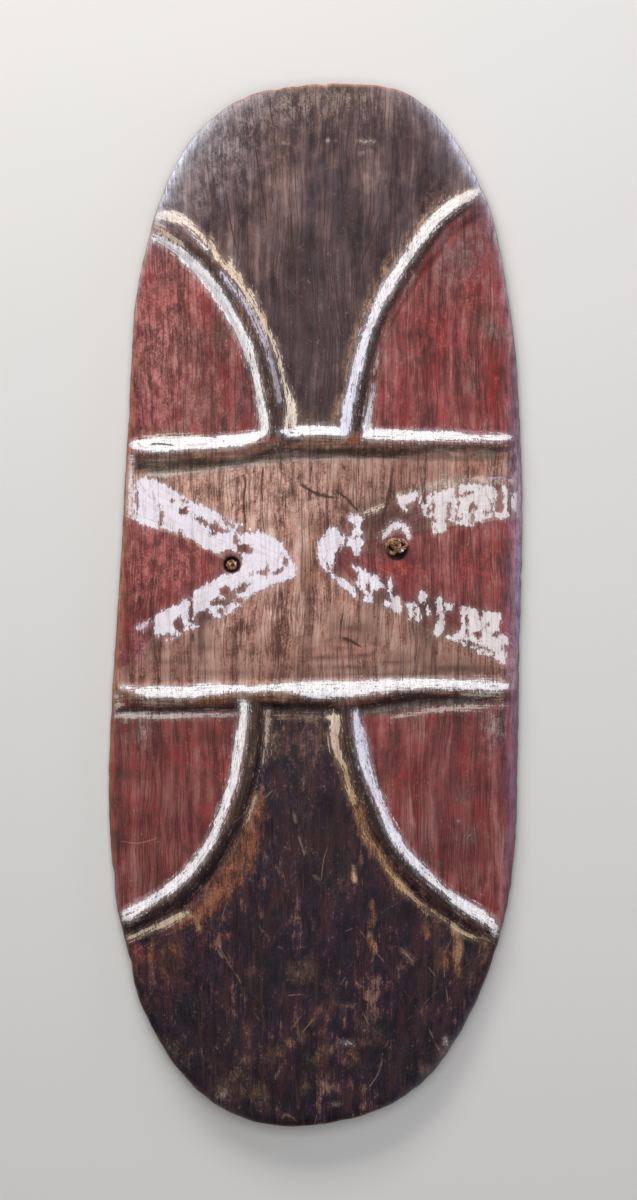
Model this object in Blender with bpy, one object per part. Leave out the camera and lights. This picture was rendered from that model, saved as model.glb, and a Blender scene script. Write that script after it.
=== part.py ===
"""A carved wooden shield with raised ribs and a cord grip, lying on its back with its face up.

Metres. +Z is out of the face, +Y is the shield's upper end, and the origin is under the middle of
the board on the surface that it lies on. The outline and the ribs are shares of half the width and
half the length, read from left to right and from the lower end to the upper end.
"""

import math

import bpy
import numpy as np
from mathutils import Vector
from mathutils.geometry import delaunay_2d_cdt

# Board
LENGTH = 1.300
WIDTH = 0.519
THICKNESS = 0.022  # in the middle, from hollow to face
SIDE_THICKNESS = 0.016  # at the widest point, before the edge is rounded
HOLLOW_DEPTH = 0.028  # how deep the back is hollowed under the middle
HOLLOW_HALF_WIDTH = 0.215  # the hollow runs out here, and flat strips lie beyond it
END_FALL = 0.007  # how far both ends lean back
END_THINNING = 0.003  # how much thinner the board is at its ends
FALL_START = 0.55  # share of the half length where the ends begin to lean back
EDGE_ROUND = 0.012  # width of the rounded front edge
EDGE_DROP = 0.007  # how far that edge falls
BACK_BEVEL = 0.003

# Ribs
RIB_WIDTH = 0.034
RIB_HEIGHT = 0.009
RIB_FADE = 0.014  # a rib runs out over this length at the rim

# Cord, knots and the two holes that they sit in
CORD_DIAMETER = 0.006
CORD_GAP = 0.0003
HOLE_CLEARANCE = 0.0023
MOUTH_DEPTH = 0.009
HOLE_LEFT = (-0.104, 0.050)
HOLE_RIGHT = (0.101, 0.069)
LEFT_MOUTH = 0.021
RIGHT_MOUTH = 0.027
LEFT_KNOT = (0.0142, 0.0142, 0.012)  # across, along and tall
RIGHT_KNOT = (0.028, 0.019, 0.016)
LEFT_KNOT_RISE = -0.003  # middle of the knot above the face
RIGHT_KNOT_RISE = 0.004
RIGHT_KNOT_SHIFT = 0.003  # the right knot is pulled towards the upper end
NECK_SHARE = 0.55  # share of the board's thickness that a knot's neck reaches up from the back

# Meshing
OUTLINE_STEP = 0.020
RIB_STEP = 0.0115
FACE_STEP = 0.031
BACK_STEP = 0.042
LEAST_SPACING = 0.0052
ROUND_SIDES = 24
KNOT_SIDES = 18
KNOT_RINGS = 11

OUTLINE = (
    (0.12, 1.000), (0.388, 0.990), (0.552, 0.952), (0.680, 0.890), (0.783, 0.817),
    (0.860, 0.740), (0.918, 0.625), (0.961, 0.510), (0.985, 0.370), (1.000, 0.200),
    (0.985, -0.100), (0.976, -0.317), (0.966, -0.452), (0.932, -0.567), (0.865, -0.670),
    (0.765, -0.770), (0.610, -0.875), (0.440, -0.940), (0.220, -0.980), (-0.080, -1.000),
    (-0.310, -0.990), (-0.508, -0.952), (-0.696, -0.875), (-0.850, -0.760), (-0.910, -0.663),
    (-0.966, -0.567), (-1.000, -0.375), (-0.985, -0.183), (-0.947, 0.048), (-0.913, 0.298),
    (-0.890, 0.460), (-0.868, 0.587), (-0.807, 0.702), (-0.749, 0.779), (-0.663, 0.856),
    (-0.557, 0.913), (-0.400, 0.962), (-0.215, 0.989),
)  # fmt: skip

RIBS = {
    "upper_cross": (
        (-0.925, 0.285), (-0.700, 0.289), (-0.412, 0.296), (-0.186, 0.304), (-0.027, 0.310),
        (0.166, 0.310), (0.571, 0.304), (0.790, 0.302), (0.998, 0.300),
    ),
    "lower_cross": (
        (-0.988, -0.183), (-0.798, -0.179), (-0.557, -0.177), (-0.316, -0.173), (-0.075, -0.171),
        (0.142, -0.171), (0.407, -0.166), (0.648, -0.162), (0.982, -0.163),
    ),
    "upper_left": (
        (-0.800, 0.738), (-0.725, 0.727), (-0.605, 0.696), (-0.489, 0.648), (-0.378, 0.587),
        (-0.296, 0.523), (-0.239, 0.456), (-0.200, 0.385), (-0.178, 0.304),
    ),
    "upper_right": (
        (0.845, 0.783), (0.745, 0.769), (0.590, 0.721), (0.484, 0.663), (0.354, 0.587),
        (0.272, 0.510), (0.219, 0.433), (0.190, 0.356), (0.178, 0.308),
    ),
    "lower_left": (
        (-0.308, -0.173), (-0.316, -0.221), (-0.330, -0.279), (-0.364, -0.346), (-0.422, -0.413),
        (-0.504, -0.471), (-0.614, -0.533), (-0.749, -0.575), (-0.945, -0.612),
    ),
    "lower_right": (
        (0.147, -0.171), (0.161, -0.250), (0.200, -0.317), (0.258, -0.385), (0.335, -0.442),
        (0.431, -0.494), (0.552, -0.542), (0.706, -0.590), (0.905, -0.631),
    ),
}  # fmt: skip

# The grip cord between the two holes as it lies slack on the ground behind the board
CORD_REST = 0.0031
CORD_ROUTE = (
    (-0.1032, 0.0463, 0.0148), (-0.0982, 0.0378, 0.0072), (-0.0880, 0.0262, 0.0038),
    (-0.0730, 0.0120, CORD_REST), (-0.0480, -0.0035, CORD_REST), (-0.0170, -0.0120, CORD_REST),
    (0.0160, -0.0105, CORD_REST), (0.0470, 0.0025, CORD_REST), (0.0710, 0.0230, CORD_REST),
    (0.0870, 0.0435, 0.0038), (0.0955, 0.0560, 0.0072), (0.1000, 0.0652, 0.0148),
)  # fmt: skip


def smooth_path(points, step, closed=False):
    """Points about a step apart on a smooth curve through the given ones, in two or three axes."""
    knots = [np.array(p, float) for p in points]
    if closed:
        knots = [knots[-1], *knots, knots[0], knots[1]]
    else:
        knots = [2 * knots[0] - knots[1], *knots, 2 * knots[-1] - knots[-2]]
    fine = []
    for before, start, end, after in zip(knots, knots[1:], knots[2:], knots[3:]):
        span = np.linalg.norm(end - start)
        leave = (end - before) * span / (span + np.linalg.norm(start - before))
        arrive = (after - start) * span / (span + np.linalg.norm(after - end))
        for t in np.arange(0, 1, 1 / 24):
            fine.append(
                (2 * t**3 - 3 * t**2 + 1) * start
                + (t**3 - 2 * t**2 + t) * leave
                + (3 * t**2 - 2 * t**3) * end
                + (t**3 - t**2) * arrive
            )
    fine.append(knots[-2])
    fine = np.array(fine)
    along = np.concatenate([[0], np.cumsum(np.linalg.norm(np.diff(fine, axis=0), axis=1))])
    places = np.linspace(0, along[-1], max(2, round(along[-1] / step)) + 1)
    path = np.stack([np.interp(places, along, axis) for axis in fine.T], axis=1)
    return path[:-1] if closed else path


def to_size(shares):
    """Shares of the half width and half length as places on the board."""
    return np.array(shares) * (WIDTH / 2, LENGTH / 2)


def outline_loop():
    """The board's outline, anticlockwise, filling its length and width exactly."""
    loop = smooth_path(to_size(OUTLINE)[::-1], OUTLINE_STEP, closed=True)
    low, high = loop.min(axis=0), loop.max(axis=0)
    return (loop - (low + high) / 2) * ((WIDTH, LENGTH) / (high - low))


def inset_loop(loop, inset):
    """The outline drawn in by an inset."""
    run = np.roll(loop, -1, axis=0) - np.roll(loop, 1, axis=0)
    inward = np.stack([-run[:, 1], run[:, 0]], axis=1)
    return loop + inset * inward / np.linalg.norm(inward, axis=1, keepdims=True)


def distance_to_line(points, line):
    """Shortest distance from each point to a line of straight runs."""
    start, run = line[:-1], np.diff(line, axis=0)
    reach = points[:, None] - start
    share = np.clip((reach * run).sum(2) / (run * run).sum(1), 0, 1)
    return np.linalg.norm(reach - share[..., None] * run, axis=2).min(axis=1)


def inset_of(points, loop):
    """How far each point is from the outline, below zero outside it."""
    distance = distance_to_line(points, np.concatenate([loop, loop[:1]]))
    after = np.roll(loop, -1, axis=0)
    above = (loop[:, 1] > points[:, None, 1]) != (after[:, 1] > points[:, None, 1])
    slope = (after - loop)[:, 0] / np.where(after[:, 1] == loop[:, 1], 1, (after - loop)[:, 1])
    crosses = above & (points[:, None, 0] < loop[:, 0] + slope * (points[:, None, 1] - loop[:, 1]))
    return np.where(crosses.sum(axis=1) % 2 == 1, distance, -distance)


def end_share(points):
    """From 0 where the ends begin to lean back to 1 at the very end."""
    along = 2 * np.abs(points[:, 1]) / LENGTH
    return np.clip((along - FALL_START) / (1 - FALL_START), 0, 1) ** 2


def plain_face(points):
    """Height of the bowed face without its ribs and rounded edge."""
    across = 2 * points[:, 0] / WIDTH
    bow = (HOLLOW_DEPTH + THICKNESS - SIDE_THICKNESS) * (1 - across**2)
    return SIDE_THICKNESS + bow - (END_FALL + END_THINNING) * end_share(points)


def back_height(points):
    """Height of the hollow back, and zero on the flat strips along both sides."""
    across = points[:, 0] / HOLLOW_HALF_WIDTH
    return np.maximum(0, HOLLOW_DEPTH * (1 - across**2) - END_FALL * end_share(points))


def rib_rise(points, ribs, inset):
    """How far the ribs stand above the plain face."""
    rise = np.zeros(len(points))
    for line in ribs:
        share = np.clip(2 * distance_to_line(points, line) / RIB_WIDTH, 0, 1)
        rise = np.maximum(rise, RIB_HEIGHT * (1 - share**2) ** 0.8)
    return rise * np.clip(inset / RIB_FADE, 0, 1)


def face_height(points, loop, ribs):
    """Height of the carved face."""
    inset = np.maximum(0, inset_of(points, loop))
    edge = 1 - np.clip(inset / EDGE_ROUND, 0, 1)
    drop = EDGE_DROP * (1 - np.sqrt(1 - edge**2))
    return plain_face(points) + rib_rise(points, ribs, inset) - drop


def spread_out(groups):
    """The points of every group in turn, without those too near an earlier one."""
    kept = np.empty((0, 2))
    for points, spacing in groups:
        for point in points:
            if not len(kept) or np.linalg.norm(kept - point, axis=1).min() >= spacing:
                kept = np.vstack([kept, point])
    return kept


def fill_grid(step):
    """Staggered rows of points over the whole board."""
    rows = np.arange(-LENGTH / 2, LENGTH / 2, step * math.sqrt(3) / 2)
    columns = np.arange(-WIDTH / 2, WIDTH / 2, step)
    return np.array([(x + step / 2 * (i % 2), y) for i, y in enumerate(rows) for x in columns])


def rib_points(ribs):
    """Points along each rib's crest, its shoulders and its feet."""
    found = []
    for line in ribs:
        run = np.gradient(line, axis=0)
        side = np.stack([-run[:, 1], run[:, 0]], axis=1)
        side /= np.linalg.norm(side, axis=1, keepdims=True)
        found += [line + RIB_WIDTH / 2 * share * side for share in (0, 0.6, -0.6, 1, -1)]
    return np.concatenate(found)


def inside(points, loop, inset):
    """The points that lie at least an inset from the outline."""
    return points[inset_of(points, loop) >= inset]


def triangles(points, count):
    """Triangles over the points, inside the loop that the first few of them make."""
    edges = [(i, (i + 1) % count) for i in range(count)]
    made = delaunay_2d_cdt([Vector(p) for p in points], edges, [], 1, 1e-6)
    if len(made[0]) != len(points):
        raise ValueError("two points of the board are in one place")
    return [tuple(face) for face in made[2]]


def material(name, colour, roughness):
    """A plain finish of one colour."""
    made = bpy.data.materials.new(name)
    made.use_nodes = True
    shader = made.node_tree.nodes["Principled BSDF"]
    shader.inputs["Base Color"].default_value = (*colour, 1)
    shader.inputs["Roughness"].default_value = roughness
    shader.inputs["Metallic"].default_value = 0
    made.diffuse_color = (*colour, 1)
    return made


def add_object(name, data, finish):
    """Puts a mesh or a curve in the scene with its finish."""
    data.materials.append(finish)
    obj = bpy.data.objects.new(name, data)
    bpy.context.scene.collection.objects.link(obj)
    return obj


def mesh_of(name, points, faces, smooth=False):
    """A mesh of these points and faces."""
    mesh = bpy.data.meshes.new(name)
    mesh.from_pydata([tuple(map(float, p)) for p in points], [], faces)
    mesh.validate()
    if smooth:
        mesh.shade_smooth()
        mesh.set_sharp_from_angle(angle=math.radians(40))
    return mesh


def make_board(finish):
    """The board with its ribs, before the two holes are cut."""
    loop = outline_loop()
    ribs = [smooth_path(to_size(line), RIB_STEP) for line in RIBS.values()]
    rounds = [inset_loop(loop, EDGE_ROUND * share) for share in (0.12, 0.45, 1)]
    face = spread_out(
        [
            (loop, 0),
            (rounds[0], 0),
            (inside(rib_points(ribs), loop, EDGE_ROUND / 2), LEAST_SPACING),
            (np.concatenate(rounds[1:]), LEAST_SPACING),
            (inside(fill_grid(FACE_STEP), loop, EDGE_ROUND), FACE_STEP * 0.55),
        ]
    )
    strips = [
        np.array([(side * HOLLOW_HALF_WIDTH, y) for y in np.arange(-LENGTH, LENGTH, BACK_STEP / 2)])
        for side in (-1, 1)
    ]
    back = spread_out(
        [
            (loop, 0),
            (inset_loop(loop, BACK_BEVEL), 0),
            (inside(np.concatenate(strips), loop, 3 * BACK_BEVEL), LEAST_SPACING),
            (inside(fill_grid(BACK_STEP), loop, 4 * BACK_BEVEL), BACK_STEP * 0.45),
        ]
    )
    count = len(loop)
    bevel = BACK_BEVEL * (1 - np.clip(inset_of(back, loop) / BACK_BEVEL, 0, 1))
    points = [(*p, z) for p, z in zip(face, face_height(face, loop, ribs))]
    points += [(*p, z) for p, z in zip(back, back_height(back) + bevel)]
    first = len(face)
    faces = triangles(face, count)
    faces += [tuple(first + i for i in reversed(tri)) for tri in triangles(back, count)]
    for i in range(count):
        after = (i + 1) % count
        faces.append((i, first + i, first + after, after))
    return add_object("shield_board", mesh_of("shield_board", points, faces, smooth=True), finish)


def turned(profile, sides):
    """Points and faces of a solid turned from (radius, height) pairs, closed at both ends."""
    turns = [2 * math.pi * i / sides for i in range(sides)]
    points = [(r * math.cos(a), r * math.sin(a), z) for r, z in profile for a in turns]
    faces = [tuple(reversed(range(sides)))]
    for ring in range(len(profile) - 1):
        for i in range(sides):
            low, high, after = ring * sides, (ring + 1) * sides, (i + 1) % sides
            faces.append((low + i, low + after, high + after, high + i))
    faces.append(tuple(range(len(points) - sides, len(points))))
    return points, faces


def face_at(place):
    """Height of the plain face over one place."""
    return float(plain_face(np.array([place]))[0])


def back_at(place):
    """Height of the hollow back over one place."""
    return float(back_height(np.array([place]))[0])


def cut_hole(board, name, place, mouth):
    """Drills the board for the cord, with a flared mouth for its knot."""
    bore = CORD_DIAMETER / 2 + HOLE_CLEARANCE
    top = face_at(place)
    flare = (mouth / 2 - bore) / MOUTH_DEPTH
    profile = (
        (bore, -THICKNESS),
        (bore, top - MOUTH_DEPTH),
        (bore + flare * (MOUTH_DEPTH + THICKNESS), top + THICKNESS),
    )
    points, faces = turned(profile, ROUND_SIDES)
    points = [(x + place[0], y + place[1], z) for x, y, z in points]
    cutter = bpy.data.objects.new(name, mesh_of(name, points, faces))
    bpy.context.scene.collection.objects.link(cutter)
    cutter.hide_render = True
    cutter.display_type = "WIRE"
    cut = board.modifiers.new(name, "BOOLEAN")
    cut.operation = "DIFFERENCE"
    cut.object = cutter


def neck_end(place):
    """Height of the flat end of a knot's neck, inside its hole."""
    low, high = back_at(place), face_at(place)
    return low + NECK_SHARE * (high - low)


def make_knot(name, place, size, rise, shift, finish):
    """A knot of three turns of cord on a round neck, its middle at a rise over the face."""
    middle, bottom = face_at(place) + rise, neck_end(place)
    low = middle - size[2] / 2
    points = []
    turns = [2 * math.pi * i / KNOT_SIDES for i in range(KNOT_SIDES)]
    neck = CORD_DIAMETER / 2
    for angle in turns:
        points.append((place[0] + neck * math.cos(angle), place[1] + neck * math.sin(angle), bottom))
    for ring in range(KNOT_RINGS):
        share = (ring + 1) / (KNOT_RINGS + 1)
        bulge = math.sin(math.pi * share) ** 0.8
        height = middle - size[2] / 2 * math.cos(math.pi * share)
        for angle in turns:
            lobe = 1 + 0.07 * math.cos(3 * angle + 4 * share)
            across = max(neck * (share < 0.5), size[0] / 2 * bulge) * lobe
            along = max(neck * (share < 0.5), size[1] / 2 * bulge) * lobe
            x = place[0] + across * math.cos(angle)
            y = place[1] + along * math.sin(angle) + shift * min(1, (height - low) / size[2] * 2)
            points.append((x, y, height))
    faces = [tuple(reversed(range(KNOT_SIDES)))]
    for ring in range(KNOT_RINGS):
        for i in range(KNOT_SIDES):
            start, after = ring * KNOT_SIDES, (i + 1) % KNOT_SIDES
            faces.append(
                (start + i, start + after, start + KNOT_SIDES + after, start + KNOT_SIDES + i)
            )
    faces.append(tuple(range(len(points) - KNOT_SIDES, len(points))))
    return add_object(name, mesh_of(name, points, faces, smooth=True), finish)


def make_cord(finish):
    """The grip cord, out of one hole, slack along the ground and up into the other."""
    ends = [(*place, neck_end(place) - CORD_GAP) for place in (HOLE_LEFT, HOLE_RIGHT)]
    route = [ends[0], (*HOLE_LEFT, back_at(HOLE_LEFT)), *CORD_ROUTE]
    route += [(*HOLE_RIGHT, back_at(HOLE_RIGHT)), ends[1]]
    path = smooth_path(route, 2 * CORD_DIAMETER)
    curve = bpy.data.curves.new("grip_cord", "CURVE")
    curve.dimensions = "3D"
    curve.bevel_depth = CORD_DIAMETER / 2
    curve.bevel_resolution = 2
    curve.use_fill_caps = True
    spline = curve.splines.new("POLY")
    spline.points.add(len(path) - 1)
    for point, place in zip(spline.points, path):
        point.co = (*place, 1)
    return add_object("grip_cord", curve, finish)


def main():
    """Clears the scene and builds the shield."""
    for obj in list(bpy.data.objects):
        bpy.data.objects.remove(obj)
    board = make_board(material("carved_wood", (0.16, 0.075, 0.055), 0.7))
    cut_hole(board, "left_hole_cutter", HOLE_LEFT, LEFT_MOUTH)
    cut_hole(board, "right_hole_cutter", HOLE_RIGHT, RIGHT_MOUTH)
    fibre = material("knotted_fibre", (0.36, 0.20, 0.09), 0.8)
    make_knot("knot_left", HOLE_LEFT, LEFT_KNOT, LEFT_KNOT_RISE, 0, fibre)
    make_knot("knot_right", HOLE_RIGHT, RIGHT_KNOT, RIGHT_KNOT_RISE, RIGHT_KNOT_SHIFT, fibre)
    make_cord(material("twisted_fibre", (0.32, 0.18, 0.08), 0.85))


main()
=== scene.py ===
"""Looks of a carved and painted wooden shield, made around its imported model.

The shield lies on its back with its face up: +Z is out of the face and +Y is its upper end. The
carved board, the two cord ends knotted into it and the grip cord behind are built here as fine
meshes, and the worn earth paint is a procedural finish that reads fields stored on the board.
"""

import logging
import math
from collections.abc import Iterable, Sequence
from dataclasses import dataclass
from enum import Enum

import bpy
import numpy as np
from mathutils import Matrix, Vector
from mathutils.geometry import delaunay_2d_cdt

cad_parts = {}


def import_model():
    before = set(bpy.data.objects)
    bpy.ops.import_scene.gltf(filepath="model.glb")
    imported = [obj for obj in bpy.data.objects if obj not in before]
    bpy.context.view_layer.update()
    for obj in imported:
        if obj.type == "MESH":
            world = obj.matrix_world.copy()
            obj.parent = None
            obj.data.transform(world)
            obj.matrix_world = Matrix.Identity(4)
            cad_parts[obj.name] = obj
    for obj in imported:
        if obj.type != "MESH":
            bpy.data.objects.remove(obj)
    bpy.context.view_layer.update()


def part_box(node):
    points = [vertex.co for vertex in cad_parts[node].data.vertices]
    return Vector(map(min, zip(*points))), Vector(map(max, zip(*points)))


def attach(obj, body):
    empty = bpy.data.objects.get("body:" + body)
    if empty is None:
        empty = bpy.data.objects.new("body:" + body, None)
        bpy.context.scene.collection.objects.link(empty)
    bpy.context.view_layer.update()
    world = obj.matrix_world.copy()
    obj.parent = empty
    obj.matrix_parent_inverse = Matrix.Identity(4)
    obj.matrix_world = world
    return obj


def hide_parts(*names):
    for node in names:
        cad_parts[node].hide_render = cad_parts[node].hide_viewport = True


LOG = logging.getLogger("shield")
Array = np.ndarray
Place = tuple[float, float]
Spot = tuple[float, float, float]
Tint = tuple[int, int, int]
SEED = 7
CHUNK = 4000

# The pattern is laid out on a grid of 1.25 mm steps, counted right and down from a corner outside
# the board. The board's middle is at this column and row of the grid.
GRID = 0.00125
MIDDLE = (315.5, 605.0)


def smooth_path(points: Sequence[Sequence[float]], step: float, closed: bool = False) -> Array:
    """Draws a smooth curve through the given points.

    Args:
        points: Places that the curve goes through, in any number of axes.
        step: Distance between the points that come back, in the points' own unit.
        closed: Whether the curve joins its last point to its first.

    Returns:
        Points a step apart along the curve.
    """
    knots = [np.array(p, float) for p in points]
    if closed:
        knots = [knots[-1], *knots, knots[0], knots[1]]
    else:
        knots = [2 * knots[0] - knots[1], *knots, 2 * knots[-1] - knots[-2]]
    fine = []
    for before, start, end, after in zip(knots, knots[1:], knots[2:], knots[3:]):
        span = np.linalg.norm(end - start)
        leave = (end - before) * span / (span + np.linalg.norm(start - before))
        arrive = (after - start) * span / (span + np.linalg.norm(after - end))
        for t in np.arange(0, 1, 1 / 24):
            fine.append(
                (2 * t**3 - 3 * t**2 + 1) * start
                + (t**3 - 2 * t**2 + t) * leave
                + (3 * t**2 - 2 * t**3) * end
                + (t**3 - t**2) * arrive
            )
    fine.append(knots[-2])
    fine = np.array(fine)
    along = np.concatenate([[0], np.cumsum(np.linalg.norm(np.diff(fine, axis=0), axis=1))])
    places = np.linspace(0, along[-1], max(2, round(along[-1] / step)) + 1)
    path = np.stack([np.interp(places, along, axis) for axis in fine.T], axis=1)
    return path[:-1] if closed else path


def off_line(points: Array, line: Array) -> tuple[Array, Array]:
    """Measures points against a line of straight runs.

    Args:
        points: Places on the board.
        line: The line's corners in order.

    Returns:
        The signed distance of each point, positive on the line's left, and its share of the way
        along the line.
    """
    start, run = line[:-1], np.diff(line, axis=0)
    lengths = np.linalg.norm(run, axis=1)
    passed = np.concatenate([[0], np.cumsum(lengths)])
    offsets, shares = [], []
    for part in np.array_split(points, max(1, len(points) // CHUNK)):
        reach = part[:, None] - start
        share = np.clip((reach * run).sum(2) / lengths**2, 0, 1)
        distance = np.linalg.norm(reach - share[..., None] * run, axis=2)
        nearest = distance.argmin(axis=1)
        rows = np.arange(len(part))
        side = run[nearest, 0] * reach[rows, nearest, 1] - run[nearest, 1] * reach[rows, nearest, 0]
        offsets.append(distance[rows, nearest] * np.where(side < 0, -1, 1))
        shares.append((passed[nearest] + share[rows, nearest] * lengths[nearest]) / passed[-1])
    return np.concatenate(offsets), np.concatenate(shares)


def depth_in(points: Array, loop: Array) -> Array:
    """Measures how deep points lie inside a closed outline.

    Args:
        points: Places on the board.
        loop: The outline's corners in order.

    Returns:
        Each point's distance from the outline, below zero outside it.
    """
    distance = np.abs(off_line(points, np.concatenate([loop, loop[:1]]))[0])
    after = np.roll(loop, -1, axis=0)
    rise = np.where(after[:, 1] == loop[:, 1], 1, after[:, 1] - loop[:, 1])
    slope = (after[:, 0] - loop[:, 0]) / rise
    inside = []
    for part in np.array_split(points, max(1, len(points) // CHUNK)):
        x, y = part[:, :1], part[:, 1:2]
        spans = (loop[:, 1] > y) != (after[:, 1] > y)
        crossed = spans & (x < loop[:, 0] + slope * (y - loop[:, 1]))
        inside.append(crossed.sum(axis=1) % 2 == 1)
    return np.where(np.concatenate(inside), distance, -distance)


def ramp(value: Array, low: float, high: float) -> Array:
    """Rises smoothly from 0 at low to 1 at high."""
    share = np.clip((value - low) / (high - low), 0, 1)
    return share * share * (3 - 2 * share)


def placed(points: Iterable[Sequence[float]]) -> Array:
    """Turns places on the layout grid into places on the board."""
    return (np.array([tuple(p)[:2] for p in points]) - MIDDLE) * (GRID, -GRID)


def as_light(tint: Tint) -> Array:
    """A colour as light, from the value that a screen shows."""
    share = np.array(tint) / 255
    return np.where(share > 0.04045, ((share + 0.055) / 1.055) ** 2.4, share / 12.92)


def linear(tint: Tint) -> tuple[float, ...]:
    """A colour as light, opaque, for a socket."""
    return (*(float(v) for v in as_light(tint)), 1.0)


def new_object(name: str, points: list, edges: list, faces: list) -> bpy.types.Object:
    """Makes a mesh object and puts it in the scene.

    Args:
        name: Its name, and its mesh's.
        points: Its points.
        edges: Pairs of points that edges join, where no face does.
        faces: The points of each face.

    Returns:
        The object.
    """
    mesh = bpy.data.meshes.new(name)
    mesh.from_pydata(points, edges, faces)
    obj = bpy.data.objects.new(name, mesh)
    bpy.context.scene.collection.objects.link(obj)
    return obj


@dataclass
class Ripple:
    """Smooth uneven waves over the board, the same in every run."""

    across: float
    along: float
    seed: int = SEED
    waves: int = 9

    def at(self, points: Array) -> Array:
        """Adds the waves up.

        Args:
            points: Places on the board.

        Returns:
            The height of the waves at each place, about -1 to 1.
        """
        draw = np.random.default_rng(self.seed)
        total = np.zeros(len(points))
        for _ in range(self.waves):
            turn, phase = draw.uniform(0, 2 * math.pi, 2)
            pitch = draw.uniform(0.7, 1.6)
            x = points[:, 0] / self.across * math.cos(turn)
            y = points[:, 1] / self.along * math.sin(turn)
            total += np.sin(2 * math.pi * pitch * (x + y) + phase)
        return total / math.sqrt(self.waves / 2) / 1.6


class Layer(Enum):
    """The layers of colour and cover that the board carries for its paint, its painted shadows and
    its painted rim highlights.
    """

    # Earth paint and stains, with painted shadows along the ribs and under the right knot and a
    # painted highlight at the upper end.
    EARTH = "earth"
    # Painted highlights and reflections along the rim, with the bare rim's own tan and orange in
    # places.
    GLOW = "glow"
    PALE = "pale"


@dataclass(frozen=True)
class Stroke:
    """A brush stroke: stations of column, row and width on the layout grid."""

    stations: tuple[tuple[float, float, float], ...]
    tint: Tint = (0, 0, 0)
    cover: float = 0.9
    soft: float = 2.0
    last: Tint | None = None

    def depth(self, points: Array) -> tuple[Array, Array]:
        """Measures how deep points lie in the stroke.

        Args:
            points: Places on the board.

        Returns:
            The depth in metres, below zero outside, and the share of the way along.
        """
        path = smooth_path(self.stations, 3.0)
        offset, share = off_line(points, placed(path))
        width = np.interp(share * (len(path) - 1), np.arange(len(path)), path[:, 2])
        return width / 2 * GRID - np.abs(offset), share

    def tints(self, share: Array) -> Array:
        """The stroke's colour at each share of the way along it."""
        first, last = as_light(self.tint), as_light(self.last or self.tint)
        return first + (last - first) * share[:, None]


@dataclass(frozen=True)
class Patch:
    """An oval mark on the layout grid, turned anticlockwise in degrees. One with a rim width lies
    only along the board's edge."""

    column: float
    row: float
    length: float
    width: float
    turn: float = 0.0
    tint: Tint = (0, 0, 0)
    cover: float = 0.9
    rim: float = 0.0

    def away(self, points: Array) -> Array:
        """Distance from the mark's middle, as a share of its size."""
        angle = math.radians(self.turn)
        x, y = (points - placed([(self.column, self.row)])).T / GRID
        along = (x * math.cos(angle) + y * math.sin(angle)) / self.length
        across = (y * math.cos(angle) - x * math.sin(angle)) / self.width
        return np.hypot(along, across)


WHITE: Tint = (243, 240, 242)
COOL: Tint = (222, 222, 238)
CREAM: Tint = (222, 200, 178)
# The near-black of the painted shadows along the ribs' shaded flanks and feet.
PAINTED_SHADE: Tint = (36, 27, 27)

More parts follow.
